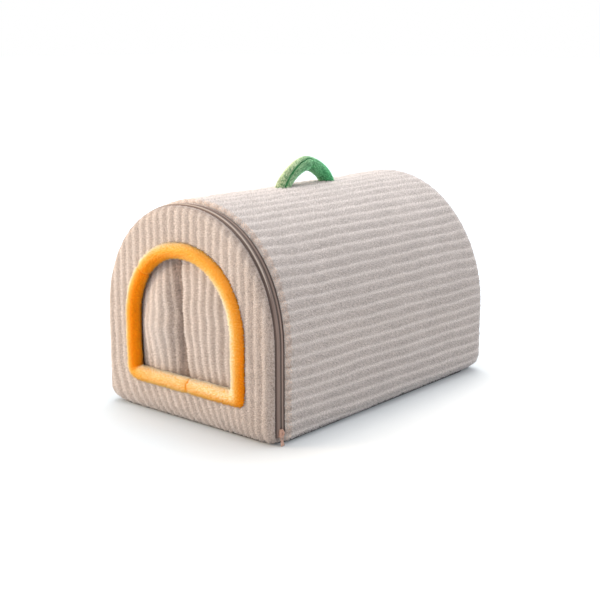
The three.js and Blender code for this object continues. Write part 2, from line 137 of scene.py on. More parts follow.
def colour_ramp(tree, level, first, last, end=1.0, middle=None):
    """A colour that goes from first to last along a level, past a middle one if there is one."""
    node = tree.nodes.new("ShaderNodeValToRGB")
    feed(node, {"Fac": level})
    stops = node.color_ramp.elements
    stops[0].color = first
    stops[1].color = last
    stops[1].position = end
    if middle:
        stops.new(0.5).color = middle
    return node.outputs["Color"]


base_low, base_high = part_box("base_panel")
base = add_block((base_low + base_high) / 2, base_high - base_low)
base.name = "base_cloth"
choose(base, "EDGE", "edges", is_upright)
bpy.ops.mesh.bevel(**BASE_CORNER)
bpy.ops.object.mode_set(mode="OBJECT")
rounding = base.modifiers.new("soft edge", "BEVEL")
rounding.width = BASE_EDGE["width"]
rounding.segments = BASE_EDGE["segments"]
bpy.ops.object.modifier_apply(modifier=rounding.name)
bpy.ops.object.shade_smooth_by_angle()
base_cloth, tree, shader = new_material("dark base cloth")
threads = {"Vector": add_node(tree, "TexCoord", "Object", {}), **BASE_THREAD}
warp, weft = (add_node(tree, "TexWave", "Fac", threads, bands_direction=way) for way in "XY")
crossing = add_node(tree, "Math", "Value", {0: warp, 1: weft}, operation="MULTIPLY")
raised = add_node(tree, "Bump", "Normal", {"Height": crossing, **BASE_RELIEF})
colours = colour_ramp(tree, crossing, BASE_DARK, BASE_LIGHT)
feed(shader, {"Base Color": colours, "Normal": raised, **BASE_FINISH})
base.data.materials.append(base_cloth)
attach(base, "root")
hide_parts("base_panel")


# Vault: one padded length of wide-wale plush bent over the house, its ribs running from front to back.
# Its front edge is folded over and sewn to the zip, and its back edge wraps round the rear to the back seam.
BODY_FRONT = {"half_width": 0.193, "spring": 0.148, "exponent": 2.12}
BODY_BACK = {"half_width": 0.2038, "spring": 0.122, "exponent": 1.98}
BACK_RISE = 0.003
FRONT_FOOT_CORNER = 0.016
BACK_FOOT_CORNER = 0.032
LEFT_CURL = {"more": 0.016, "fade": 0.10}
LEAST_CORNER = 0.002
WALL_THICK = 0.024
ARCH_POINTS = 400
WALL_POINTS = 200
HEADING_SPAN = 0.002
WAVES = {"count": 7, "shortest": 0.7, "longest": 1.6, "calm": 3}
VAULT_GIRTH = 0.93
VAULT_DRIFT = {"amount": 0.07, "size": 0.11, "seed": 3}
VAULT_SWELL = {"amount": 0.25, "size": 0.07, "seed": 4}
VAULT_SLACK = {"amount": 0.0006, "size": 0.16, "seed": 5}
VAULT_WALES = 54
VAULT_WALE_POINTS = 10
WALE_HEIGHT = 0.0020
WALE_RIDGE = 0.36
WALE_FULLNESS = 0.85
STRAIGHT_CREST = 0.05
CREST_FLATTER = 0.60
CREST_PALER = 0.60
CREST_LIGHT = 0.55
PILE_REACH = 0.0026
VAULT_NAP_AND_LIGHT = {"at": 0.16, "half_width": 0.17}
SMOOTH_NAP = 0.60
PLAIN_TONE = 0.5
ROLLED_EDGE = {"depth": 0.0080, "reach": 0.0095}
ROLLED_FLATTER = 0.2
EDGE_LIGHT = 0.010
EDGE_BARE = {"reach": 0.003, "least": 0.5}
EDGE_DIP = 0.25
SEAM_BEHIND_TAPE = 0.0012
BACK_EDGE = {"depth": 0.0045, "reach": 0.026}
BACK_WRAP = 0.016
BACK_LIP = 0.0004
BACK_FADE = {"reach": 0.018, "least": 0.3}
BACK_BARE = {"reach": 0.014, "least": 0.5}
HEM_DROP = 0.0026
HEM_REACH = 0.015
ABOVE_FLOOR = 0.0003
ZIP_FLOOR = 0.0094
VAULT_ROW = 0.008
EDGE_ROWS = (0.0, 0.02, 0.07, 0.15, 0.27, 0.42, 0.6, 0.8, 1.0)
LOCK = {"sunk": 0.15, "shortest": 0.7, "tallest": 1.2, "thinnest": 0.75, "thickest": 1.25}
LOCK_SHADING = {"foot_up": 0.75, "foot_out": 0.45, "tip_up": 0.8, "tip_along": 0.4}
LOCK_FACES = np.array([[0, 1, 3], [1, 2, 3], [2, 0, 3], [2, 1, 0]])
LOCK_LAYOUT = np.array([[0.05, 0.05], [0.95, 0.05], [0.5, 0.2], [0.5, 0.95]])
FLECKS = {"Scale": 430.0, "Detail": 2.0}
FLECK_SLANT = {"Rotation": (math.radians(45), 0, 0), "Scale": (1, 1, 2.2)}
FLECK_RANGE = {"From Min": 0.42, "From Max": 0.66}
PATCH_DETAIL = 4.0
PATCH_RANGE = {"From Min": 0.25, "From Max": 0.75}
TIP_START = 0.75
PLUSH_FINISH = {"Roughness": 0.95, "Specular IOR Level": 0.15, "Sheen Roughness": 0.5}
BEIGE = {"root": (0.55, 0.49, 0.455, 1), "tip": (0.86, 0.79, 0.765, 1), "sheen": 0.25}
BEIGE_NAP_AND_LIGHT = {"shade": (0.88, 0.865, 0.86, 1), "middle": (0.94, 0.93, 0.93, 1), "fleck": 0.31}
BEIGE_PILE = {"length": 0.0036, "width": 0.00105, "lean": (0, 0.05, -0.25), "spread": 0.33}
VAULT_PILE_SPACING = 0.00232
# The folded edge's pile is paler than the rest: a painted highlight along the fold.
FOLD_PAINTED_HIGHLIGHT = {"root": (0.70, 0.57, 0.50, 1), "tip": (0.97, 0.80, 0.68, 1), "sheen": 0.9}
FOLD_PAINTED_SHADING = {"shade": (0.42, 0.37, 0.35, 1), "middle": (0.74, 0.69, 0.67, 1), "fleck": 0.30}
FOLD_PILE = {"spacing": 0.0017, "length": 0.0034, "width": 0.0009, "lean": (0, 0.1, 0), "spread": 0.40}
FOLD_START = 0.0012


def arch_line(half_width, spring, exponent, crest, foot, corner, right_corner):
    """Close points (x, z) of an upright arch, from its right foot over the crest to its left foot."""
    turn = np.linspace(0, math.pi / 2, ARCH_POINTS)
    power = 2 / exponent
    across = half_width * np.cos(turn).clip(0) ** power
    top = np.stack([across, spring + (crest - spring) * np.sin(turn) ** power], 1)
    halves = []
    for radius in (right_corner, corner):
        bend = np.stack([half_width - radius * (1 - np.sin(turn)), foot + radius * (1 - np.cos(turn))], 1)
        wall = bend[-1:] + (top[:1] - bend[-1:]) * np.linspace(0, 1, WALL_POINTS)[1:-1, None]
        halves.append(np.concatenate([bend, wall, top]))
    halves[1] = halves[1][-2::-1] * (-1, 1)
    return np.concatenate(halves)


def run_of(line):
    """How far along a line each of its points lies."""
    return np.concatenate([[0], np.cumsum(np.linalg.norm(np.diff(line, axis=0), axis=1))])


def at_run(line, run, distance):
    """Points at distances along a line."""
    return np.stack([np.interp(distance, run, line[:, axis]) for axis in (0, 1)], 1)


def unit(vectors):
    """Vectors made one long."""
    return vectors / np.linalg.norm(vectors, axis=1, keepdims=True)


def along_line(line, shares):
    """Points of a line at shares of its length, and the directions that point outwards there."""
    run = run_of(line)
    span = HEADING_SPAN * run[-1]
    distance = shares * run[-1]
    before, after = (distance - span).clip(0, run[-1]), (distance + span).clip(0, run[-1])
    heading = unit(at_run(line, run, after) - at_run(line, run, before))
    return at_run(line, run, distance), np.stack([heading[:, 1], -heading[:, 0]], 1)


def stood(points, y):
    """Points (x, z) set upright at their y."""
    return np.stack([points[:, 0], np.broadcast_to(y, len(points)), points[:, 1]], 1)


def body_arch(share, inset):
    """The body's arch at a share of the way from front to back, drawn in by an inset."""
    size = {key: BODY_FRONT[key] + share * (BODY_BACK[key] - BODY_FRONT[key]) for key in BODY_FRONT}
    size["half_width"] -= inset
    size["crest"] = vault_high.z + share * BACK_RISE - inset
    right = max(FRONT_FOOT_CORNER + share * (BACK_FOOT_CORNER - FRONT_FOOT_CORNER) - inset, LEAST_CORNER)
    left = right + LEFT_CURL["more"] * math.exp(-((share / LEFT_CURL["fade"]) ** 2))
    return arch_line(**size, foot=vault_low.z, corner=left, right_corner=right)


def part_way(value, start=0, reach=1, least=0):
    """Share of the way from a start over a reach, kept between a least share and 1."""
    return np.clip((value - start) / reach, least, 1)


def fall_back(distance, depth, reach):
    """How far a face falls back towards its edge, along an elliptic round of a depth and a reach."""
    return depth * (1 - np.sqrt(1 - (1 - part_way(distance, reach=reach)) ** 2))


def unevenness(across, along, amount, size, seed):
    """Slow waves about a size long, in all directions, mostly within an amount either side of 0."""
    rng = np.random.default_rng(seed)
    total = 0
    for _ in range(WAVES["count"]):
        heading, phase = rng.uniform(0, 2 * math.pi, 2)
        length = size * rng.uniform(WAVES["shortest"], WAVES["longest"])
        distance = across * math.cos(heading) + along * math.sin(heading)
        total = total + np.sin(2 * math.pi * distance / length + phase)
    return amount * (total / WAVES["calm"])


def skewed(share, middle):
    """A share from 0 to 1, bent so that it comes to a half at a middle."""
    return share ** (math.log(0.5) / math.log(middle))


def wale_rise(phase, ridge=0.5):
    """Height of a wale at a place across it: 0 in the furrow and 1 on its ridge, at a share of its width."""
    return np.sin(math.pi * skewed(phase % 1, ridge)).clip(0) ** WALE_FULLNESS


def nap_and_painted_light(phase, at, half_width):
    """How light a wale is painted across its width: 1 on the flank beside the furrow, where the pile lies
    smooth. This is partly the nap and partly painted light on the flank the light falls on, with painted
    shade on the other.
    """
    off = np.abs((phase - at + 0.5) % 1 - 0.5)
    return np.exp(-(off / half_width) ** 2)


def patches(rows, columns, start=0, ring=False):
    """Four-sided faces between rows of corners; in a ring the last column meets the first."""
    row = np.arange(rows - 1)[:, None]
    column = np.arange(columns if ring else columns - 1)[None, :]
    after = (column + 1) % columns
    near, far = start + row * columns, start + (row + 1) * columns
    return np.stack([near + column, near + after, far + after, far + column], -1).reshape(-1, 4).tolist()


def strip(near, far):
    """Four-sided faces between two equal rows of corners."""
    return [[here, there, over, back] for here, there, back, over in zip(near, near[1:], far, far[1:])]


def mark(mesh, key, values):
    """Gives each corner of a mesh a value of its own."""
    attribute = mesh.attributes.get(key) or mesh.attributes.new(key, "FLOAT", "POINT")
    attribute.data.foreach_set("value", np.asarray(values, np.float32))


def sewn(name, places, faces, pile, tone, material):
    """A new piece at the origin, smooth and facing out. Pile is the share of full pile at each corner, and
    tone is how light it is painted there: partly the nap, and partly painted light and shade."""
    mesh = bpy.data.meshes.new(name)
    mesh.from_pydata(np.asarray(places).tolist(), [], faces)
    mark(mesh, "pile", pile)
    mark(mesh, "tone", tone)
    mesh.materials.append(material)
    piece = bpy.data.objects.new(name, mesh)
    bpy.context.collection.objects.link(piece)
    bpy.ops.object.select_all(action="DESELECT")
    piece.select_set(True)
    bpy.context.view_layer.objects.active = piece
    bpy.ops.object.mode_set(mode="EDIT")
    bpy.ops.mesh.select_all(action="SELECT")
    bpy.ops.mesh.normals_make_consistent(inside=False)
    bpy.ops.object.mode_set(mode="OBJECT")
    bpy.ops.object.shade_smooth()
    return piece


def read_out(source, key, kind, width):
    """Values of a mesh's parts, in rows of a width."""
    values = np.empty(width * len(source), kind)
    source.foreach_get(key, values)
    return values.reshape(-1, width)


def grow_pile(name, skin, material, spacing, length, width, lean, spread, seed, part=(0, 1)):
    """Short pile on a skin: small closed three-sided locks, rooted where the skin's pile attribute says."""
    rng = np.random.default_rng(seed)
    mesh = skin.data
    mesh.calc_loop_triangles()
    corners = read_out(mesh.loop_triangles, "vertices", np.int32, 3)
    places = read_out(mesh.vertices, "co", np.float32, 3).astype(float)
    normals = read_out(mesh.vertex_normals, "vector", np.float32, 3).astype(float)
    own = mesh.attributes
    grown, light = (read_out(own[key].data, "value", np.float32, 1)[:, 0] for key in ("pile", "tone"))
    corners = corners[grown[corners].min(1) > 0]
    first, second, third = (places[corners[:, i]] for i in range(3))
    area = np.linalg.norm(np.cross(second - first, third - first), axis=1) / 2
    count = np.floor(area / spacing ** 2 + rng.random(len(area))).astype(int)
    owner = np.repeat(np.arange(len(area)), count)
    edge = np.sqrt(rng.random(len(owner)))
    side = rng.random(len(owner))
    weights = np.stack([1 - edge, edge * (1 - side), edge * side], 1)
    keep = slice(int(part[0] * len(owner)), int(part[1] * len(owner)))
    owner, weights = corners[owner[keep]], weights[keep]
    locks = len(owner)
    root = (places[owner] * weights[:, :, None]).sum(1)
    normal = unit((normals[owner] * weights[:, :, None]).sum(1))
    tall = length * (grown[owner] * weights).sum(1) * rng.uniform(LOCK["shortest"], LOCK["tallest"], locks)
    direction = normal + np.asarray(lean) + spread * rng.normal(size=normal.shape)
    direction -= normal * ((direction * normal).sum(1, keepdims=True) - 1).clip(None, 0)
    direction = unit(direction)
    beside = unit(np.cross(direction, rng.normal(size=normal.shape)))
    square = np.cross(direction, beside)
    thick = width * rng.uniform(LOCK["thinnest"], LOCK["thickest"], (locks, 1))
    outward = [beside * math.cos(turn) + square * math.sin(turn) for turn in np.arange(3) * 2 * math.pi / 3]
    foot = root - normal * (LOCK["sunk"] * length)
    points = np.stack([foot + thick * out for out in outward] + [root + direction * tall[:, None]], 1)
    points[:, :, 2] = points[:, :, 2].clip(ABOVE_FLOOR)
    soft = [LOCK_SHADING["foot_up"] * normal + LOCK_SHADING["foot_out"] * out for out in outward]
    soft.append(LOCK_SHADING["tip_up"] * normal + LOCK_SHADING["tip_along"] * direction)
    soft = np.stack([unit(vectors) for vectors in soft], 1)

    loops = (4 * np.arange(locks)[:, None, None] + LOCK_FACES).reshape(-1)
    pile = bpy.data.meshes.new(name)
    pile.vertices.add(4 * locks)
    pile.vertices.foreach_set("co", points.astype(np.float32).ravel())
    pile.loops.add(len(loops))
    pile.loops.foreach_set("vertex_index", loops.astype(np.int32))
    pile.polygons.add(4 * locks)
    pile.polygons.foreach_set("loop_start", np.arange(0, len(loops), 3, dtype=np.int32))
    mark(pile, "tip", np.tile([0, 0, 0, 1], locks))
    mark(pile, "tuft", np.repeat(rng.random(locks), 4))
    mark(pile, "tone", np.repeat((light[owner] * weights).sum(1), 4))
    cells = math.ceil(math.sqrt(locks))
    cell = np.stack([np.arange(locks) % cells, np.arange(locks) // cells], 1)[:, None, :]
    layout = (cell + LOCK_LAYOUT[None])[:, LOCK_FACES].reshape(-1, 2) / cells
    pile.uv_layers.new(name="OFBake").uv.foreach_set("vector", layout.astype(np.float32).ravel())
    pile.update(calc_edges=True)
    pile.polygons.foreach_set("use_smooth", np.ones(4 * locks, bool))
    pile.normals_split_custom_set_from_vertices(soft.reshape(-1, 3).tolist())
    pile.materials.append(material)
    piece = bpy.data.objects.new(name, pile)
    bpy.context.collection.objects.link(piece)
    return piece


def plush(name, root, tip, shade, middle, sheen, fleck, patch_size=0.038, patch=0.05, tuft=0.05):
    """Pile cloth: dark at the roots and on the bare skin as painted shade between the fibres, light at the
    tips, a little different from tuft to tuft and patch to patch. The tone takes it from the painted shade
    colour to fully lit; where the tone is low it shows dark flecks, partly the pile's texture and partly
    painted self-shadow."""
    material, tree, shader = new_material(name)

    def own(key):
        return add_node(tree, "Attribute", "Fac", {}, attribute_name=key)

    def levels(source, first, second, **span):
        ends = {"Value": source, "To Min": first, "To Max": second}
        return add_node(tree, "MapRange", "Result", {**ends, **span})

    place = add_node(tree, "TexCoord", "Object", {})
    slanting = add_node(tree, "Mapping", "Vector", {"Vector": place, **FLECK_SLANT}, vector_type="TEXTURE")
    flecks = add_node(tree, "TexNoise", "Fac", {"Vector": slanting, **FLECKS})
    flecks = levels(flecks, 1.0, 1 - fleck, **FLECK_RANGE)
    clouds = {"Vector": place, "Scale": 1 / patch_size, "Detail": PATCH_DETAIL}
    cloud = add_node(tree, "TexNoise", "Fac", clouds)
    shades = (
        levels(cloud, 1 - patch, 1 + patch, **PATCH_RANGE),
        levels(own("tuft"), 1 - tuft, 1 + tuft),
        add_node(tree, "Mix", "Result", {"Factor": own("tone"), "A": flecks, "B": 1.0}),
    )
    shaded_roots_ramp = colour_ramp(tree, own("tip"), root, tip, end=TIP_START)
    nap_and_light_ramp = colour_ramp(tree, own("tone"), shade, (1, 1, 1, 1), middle=middle)
    shaded = add_node(tree, "VectorMath", "Vector", {0: shaded_roots_ramp, 1: nap_and_light_ramp}, operation="MULTIPLY")
    for level in shades:
        shaded = add_node(tree, "VectorMath", "Vector", {0: shaded, "Scale": level}, operation="SCALE")
    feed(shader, {"Base Color": shaded, "Sheen Weight": sheen, **PLUSH_FINISH})
    return material


def way_back(y):
    """Share of the way from the vault's front seam to the end of its wall."""
    return part_way(y, seam_front_y, vault_high.y - seam_front_y)


vault_low, vault_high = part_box("vault_cover")
seam_front_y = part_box("zip_tape_rear")[1].y + SEAM_BEHIND_TAPE
rows_front = [seam_front_y + share * ROLLED_EDGE["reach"] for share in EDGE_ROWS]
vault_end_y = vault_high.y + BACK_WRAP
rows_back = [vault_end_y - share * BACK_EDGE["reach"] for share in EDGE_ROWS[::-1]]
row_count = round((rows_back[0] - rows_front[-1]) / VAULT_ROW) + 1
rows_middle = np.linspace(rows_front[-1], rows_back[0], row_count)[1:-1]
vault_rows = [vault_low.y, *rows_front, *rows_middle, *rows_back, vault_high.y]
vault_shares = np.linspace(0, 1, VAULT_WALES * VAULT_WALE_POINTS + 1)
vault_run = vault_shares * VAULT_GIRTH
from_crest = part_way(np.abs(vault_shares - 0.5), reach=STRAIGHT_CREST)
outside, grown, tones = [], [], []
for number, y in enumerate(vault_rows):
    from_seam, from_end = y - seam_front_y, vault_end_y - y
    under_lip = number == len(vault_rows) - 1
    tucked = number == 0 or under_lip
    front_fall = fall_back(from_seam, **ROLLED_EDGE)
    back_fall = BACK_EDGE["depth"] + BACK_LIP if under_lip else fall_back(from_end, **BACK_EDGE)
    sink = ZIP_FLOOR if number == 0 else PILE_REACH + front_fall + back_fall
    points, outward = along_line(body_arch(way_back(y), sink), vault_shares)
    phase = vault_shares * VAULT_WALES + unevenness(vault_run, y, **VAULT_DRIFT) * from_crest
    downward = np.where(vault_shares < 0.5, -phase, phase)
    rise = wale_rise(downward, WALE_RIDGE)
    strength = 1 - ROLLED_FLATTER * front_fall / ROLLED_EDGE["depth"]
    strength = strength * part_way(from_end, **BACK_FADE)
    strength = strength * (1 + unevenness(vault_run, y, **VAULT_SWELL))
    facing_up = outward[:, 1].clip(0)
    depth = 0 if tucked else WALE_HEIGHT * strength * (1 - CREST_FLATTER * facing_up) * (1 - rise)
    slack = 0 if tucked else unevenness(vault_run, y, **VAULT_SLACK)
    points = points - outward * np.asarray(depth + slack).reshape(-1, 1)
    points[:, 1] = points[:, 1].clip(vault_low.z)
    points[:, 1] -= HEM_DROP * (1 - part_way(points[:, 1], vault_low.z, HEM_REACH)) ** 2
    outside.append(stood(points, y))
    # Painted light and shade: the tone is light on the upper flank of each wale and dark on the lower one,
    # partly the nap and partly light from above; towards the crest it is evened out and made paler. Along the
    # folded front edge it is painted light on the ridges and painted shade in the furrows.
    light = nap_and_painted_light(downward, **VAULT_NAP_AND_LIGHT)
    light += CREST_PALER * facing_up * (CREST_LIGHT - light)
    standing = (1 - SMOOTH_NAP * light) * part_way(from_seam, **EDGE_BARE) * part_way(from_end, **BACK_BARE)
    grown.append(standing * (number > 1 and not under_lip))
    at_fold = 1 - part_way(from_seam, reach=EDGE_LIGHT)
    tones.append(light + at_fold * (EDGE_DIP + (1 - EDGE_DIP) * rise - light))
wall_ends = (vault_low.y, vault_high.y)
inside = [stood(along_line(body_arch(way_back(y), WALL_THICK), vault_shares)[0], y) for y in wall_ends]
columns, rows = len(vault_shares), len(vault_rows)
hidden = rows * columns
front_row, back_row = range(columns), range(hidden - columns, hidden)
front_inside, back_inside = range(hidden, hidden + columns), range(hidden + columns, hidden + 2 * columns)
vault_faces = patches(rows, columns) + patches(2, columns, hidden)
vault_faces += strip(front_row, front_inside) + strip(back_row, back_inside)
for column in (0, columns - 1):
    outer_foot = [row * columns + column for row in range(rows)]
    vault_faces.append(outer_foot + [back_inside[column], front_inside[column]])
bare = np.zeros(2 * columns)
vault_grown = np.concatenate([*grown, bare])
tones = np.concatenate([*tones, bare + PLAIN_TONE])
beige_plush = plush("beige plush", **BEIGE, **BEIGE_NAP_AND_LIGHT)
vault = sewn("vault_plush", np.concatenate(outside + inside), vault_faces, vault_grown, tones, beige_plush)
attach(vault, "root")
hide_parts("vault_cover")
# The folded front edge gets its own paler pile, a painted highlight for the sheen along the fold, with
# painted shade in its furrows.
fold_highlight_plush = plush("folded edge plush", **FOLD_PAINTED_HIGHLIGHT, **FOLD_PAINTED_SHADING)
on_fold = [FOLD_START < y - seam_front_y < EDGE_LIGHT for y in vault_rows]
mark(vault.data, "pile", np.concatenate([np.repeat(on_fold, columns), bare]))
fold_pile = grow_pile("vault_fold_pile", vault, fold_highlight_plush, seed=15, **FOLD_PILE)
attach(fold_pile, "root")
mark(vault.data, "pile", vault_grown)
for number in range(2):
    half = {"spacing": VAULT_PILE_SPACING, "part": (number / 2, number / 2 + 0.5)}
    vault_pile = grow_pile(f"vault_pile_{number + 1}", vault, beige_plush, seed=11, **half, **BEIGE_PILE)
    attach(vault_pile, "root")


# Back panel: a padded plush panel with upright ribs. Its rim is rounded and drawn in, and it is sewn to the
# vault's back edge and to the base.
PANEL_WALE = 0.0166
PANEL_WALE_POINTS = 8
PANEL_THICK = 0.023
BACK_RIM = {"depth": 0.0048, "reach": 0.024}
BACK_HEM = {"depth": 0.012, "reach": 0.018}
BACK_INSET = 0.0076
BACK_RIM_BARE = {"reach": 0.020, "least": 0.45}
BACK_SEAM = 0.0006
BACK_DRIFT = {"amount": 0.06, "size": 0.1, "seed": 21}
BACK_HEM_ROWS = (0, 0.09, 12)
BACK_MIDDLE_ROWS = (0.11, 0.9, 44)
BACK_RIM_ROWS = (0.08, 0, 12)
BACK_RIM_CLOSER = 1.2
BACK_PILE_SPACING = 0.0025
WALE_FADE = 0.8


def rim_distance(points, line):
    """Distance of each point (x, z) from a line of close points."""
    nearest = ((points[:, None, :] - line[None]) ** 2).sum(2).argmin(1).clip(1, len(line) - 2)
    distances = []
    for start in (nearest - 1, nearest):
        span = line[start + 1] - line[start]
        share = ((points - line[start]) * span).sum(1) / (span ** 2).sum(1)
        distances.append(np.linalg.norm(points - line[start] - span * share.clip(0, 1)[:, None], axis=1))
    return np.minimum(*distances)


def tube(stations, corners):
    """Faces of a closed tube: rings of corners, one for each station, and a cap at either end."""
    caps = [list(range(corners)), list(range((stations - 1) * corners, stations * corners))]
    return patches(stations, corners, ring=True) + caps


back_low, back_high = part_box("back_panel")
back_line = body_arch(1, BACK_INSET)
back_half = back_line[:, 0].max()
back_columns = np.linspace(-back_half, back_half, round(2 * back_half / PANEL_WALE) * PANEL_WALE_POINTS + 1)
rim_rows = 1 - np.linspace(*BACK_RIM_ROWS) ** BACK_RIM_CLOSER
back_rows = np.concatenate([np.linspace(*BACK_HEM_ROWS), np.linspace(*BACK_MIDDLE_ROWS), rim_rows])
right_up = back_line[: np.argmax(back_line[:, 1]) + 1]
widest = right_up[:, 0].argmax()
foot_part, top_part = right_up[: widest + 1], right_up[widest:]
seam_y = back_low.y + BACK_SEAM
places, grown, tones = [], [], []
for x in back_columns:
    reach = min(abs(x), back_half)
    low = np.interp(reach, foot_part[:, 0], foot_part[:, 1]) if reach > foot_part[0, 0] else back_low.z
    high = np.interp(-reach, -top_part[:, 0], top_part[:, 1])
    heights = low + (high - low) * back_rows
    spots = np.stack([np.full(len(heights), x), heights], 1)
    to_rim = rim_distance(spots, back_line)
    fall = np.hypot(fall_back(to_rim, **BACK_RIM), fall_back(heights - low, **BACK_HEM))
    fall = fall.clip(None, BACK_RIM["depth"])
    phase = x / PANEL_WALE + unevenness(spots[:, 0], spots[:, 1], **BACK_DRIFT)
    furrow = WALE_HEIGHT * (1 - wale_rise(phase)) * (1 - WALE_FADE * fall / BACK_RIM["depth"])
    face = stood(spots, back_high.y - (PILE_REACH + fall + furrow))
    inner = np.array([[x, seam_y, high], [x, back_low.y, high], [x, back_low.y, low], [x, seam_y, low]])
    places.append(np.concatenate([face, inner]))
    least = BACK_RIM_BARE["least"]
    grown.append(np.concatenate([part_way(to_rim, **BACK_RIM_BARE), [least, 0, 0, least]]))
    # Painted light and shade on the ribs, as on the vault: lighter on one flank, darker on the other.
    tones.append(np.concatenate([nap_and_painted_light(phase, **VAULT_NAP_AND_LIGHT), np.full(len(inner), PLAIN_TONE)]))
back_faces = tube(len(places), len(places[0]))
places, grown, tones = (np.concatenate(values) for values in (places, grown, tones))
back = sewn("back_plush", places, back_faces, grown, tones, beige_plush)
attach(back, "root")
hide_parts("back_panel")
back_pile = grow_pile("back_pile", back, beige_plush, spacing=BACK_PILE_SPACING, seed=12, **BEIGE_PILE)
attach(back_pile, "root")


# Front panel: a padded plush panel with upright ribs. Its rim rounds over into the zip, its hem curls
# under to the base, and the doorway is cut out of it.
FRONT_INSET = 0.0078
FRONT_CENTRE = np.array([0, 0.15])
FRONT_COLUMNS = 600
FRONT_ROWS = 34
FRONT_ROWS_CLOSER = 1.25
FRONT_RIM = {"depth": 0.0085, "reach": 0.013}
FRONT_HEM = {"depth": 0.014, "reach": 0.028}
FRONT_WALE_HEIGHT = 0.0014
FRONT_DRIFT = {"amount": 0.08, "size": 0.09, "seed": 31}
FRONT_SWELL = {"amount": 0.2, "size": 0.07, "seed": 32}
FRONT_NAP_AND_LIGHT = {"at": 0.25, "half_width": 0.21}
FRONT_TONE = {"furrow": 0.50, "nap": 0.48}
FRONT_BARE = {"reach": 0.008, "least": 0.4}
FRONT_PILE_SPACING = 0.00195
FRONT_PILE = {"length": 0.0029, "width": 0.0009, "lean": (0, 0.05, -0.25), "spread": 0.26}
PANEL_NAP_AND_LIGHT = {"shade": (0.56, 0.48, 0.44, 1), "middle": (0.87, 0.84, 0.82, 1), "fleck": 0.48}
RIM_SHADE = {"reach": 0.010, "least": 0.25}
RIM_LEDGE = 0.002
RIGHT_SHADE = {"share": 0.24, "from_x": 0.105, "blend": 0.05}
HEM_LEAN = {"below": 0.080, "share": 0.46, "from_x": -0.205, "to_x": 0.150, "blend": 0.10}
DOOR = {"half_width": 0.1185, "spring": 0.155, "exponent": 2.1, "crest": 0.283, "foot": 0.065}
DOOR_CORNER = 0.0135
DOOR_CUT = 0.0129
FOOT_POINTS = 60


def door_arch(growth, right_corner=DOOR_CORNER):
    """The doorway's arch, grown outwards from the roll's centre line."""
    size = dict(DOOR)
    size["half_width"] += growth
    size["crest"] += growth
    size["foot"] -= growth
    return arch_line(**size, corner=DOOR_CORNER + growth, right_corner=right_corner)


def closed_loop(line):
    """An arch made a closed loop by its level foot, starting in the middle of the foot."""
    middle = np.array([[0, line[0, 1]]])
    foot = np.linspace(0, 1, FOOT_POINTS)[1:-1, None]
    to_right = middle + (line[:1] - middle) * foot
    to_middle = line[-1:] + (middle - line[-1:]) * foot
    return np.concatenate([middle, to_right, line, to_middle, middle])


def loop_at_angles(loop, angles):
    """Points of a loop seen from the panel's centre at these angles."""
    ray = loop - FRONT_CENTRE
    turn = np.unwrap(np.arctan2(ray[:, 1], ray[:, 0]))
    order = np.argsort(turn)
    reach = np.interp(angles, turn[order], np.linalg.norm(ray, axis=1)[order], period=2 * math.pi)
    return FRONT_CENTRE + reach[:, None] * np.stack([np.cos(angles), np.sin(angles)], 1)


front_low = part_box("front_panel")[0]
front_line = body_arch(0, FRONT_INSET)
rim_points, _ = along_line(closed_loop(front_line), np.arange(FRONT_COLUMNS) / FRONT_COLUMNS)
front_angles = np.arctan2(*(rim_points - FRONT_CENTRE).T[::-1])
door_points = loop_at_angles(closed_loop(door_arch(DOOR_CUT)), front_angles)
ledge_points = loop_at_angles(closed_loop(body_arch(0, ZIP_FLOOR)), front_angles)
ledge_points[:, 1] = ledge_points[:, 1].clip(front_low.z)
layers, grown, tones = [], [], []
for share in 1 - np.linspace(1, 0, FRONT_ROWS) ** FRONT_ROWS_CLOSER:
    spots = door_points + (rim_points - door_points) * share
    x, z = spots.T
    to_rim = rim_distance(spots, front_line)
    above = z - front_low.z
    fall = np.hypot(fall_back(to_rim, **FRONT_RIM), fall_back(above, **FRONT_HEM))
    fall = fall.clip(None, FRONT_HEM["depth"])
    pulled = part_way(x, HEM_LEAN["from_x"], HEM_LEAN["blend"])
    pulled *= part_way(HEM_LEAN["to_x"], x, HEM_LEAN["blend"])
    lean = HEM_LEAN["share"] * pulled * np.clip(HEM_LEAN["below"] - z, 0, 1)
    phase = (x - lean) / PANEL_WALE + unevenness(x, z, **FRONT_DRIFT)
    rise = wale_rise(phase)
    furrow = (1 + unevenness(x, z, **FRONT_SWELL)) * FRONT_WALE_HEIGHT * (1 - rise)
    depth = PILE_REACH + fall + furrow * (1 - WALE_FADE * fall / FRONT_HEM["depth"])
    hem = HEM_DROP * rise * (1 - part_way(above, reach=HEM_REACH)) ** 2
    layers.append(np.stack([x, front_low.y + depth, z - hem], 1))
    grown.append(part_way(to_rim, **FRONT_BARE))
    # Painted light and shade: the tone is lighter on the left flank of each rib, where the light falls,
    # partly the nap; painted shade on the rim beside the zip and towards the right edge.
    at_rim = np.clip(RIM_SHADE["least"] + to_rim / RIM_SHADE["reach"], 0, 1)
    right = part_way(x, RIGHT_SHADE["from_x"], RIGHT_SHADE["blend"])
    light = FRONT_TONE["furrow"] + FRONT_TONE["nap"] * nap_and_painted_light(phase, **FRONT_NAP_AND_LIGHT)
    tones.append(light * (1 - RIGHT_SHADE["share"] * right) * at_rim)
layers.append(stood(ledge_points, layers[-1][:, 1] + RIM_LEDGE))
layers += [stood(line, front_low.y + PANEL_THICK) for line in (ledge_points, door_points)]
bare = np.zeros((len(layers) - FRONT_ROWS) * FRONT_COLUMNS)
grown, tones = np.concatenate([*grown, bare]), np.concatenate([*tones, bare])
door_edge = [*range(FRONT_COLUMNS), 0]
door_back = [(len(layers) - 1) * FRONT_COLUMNS + column for column in door_edge]
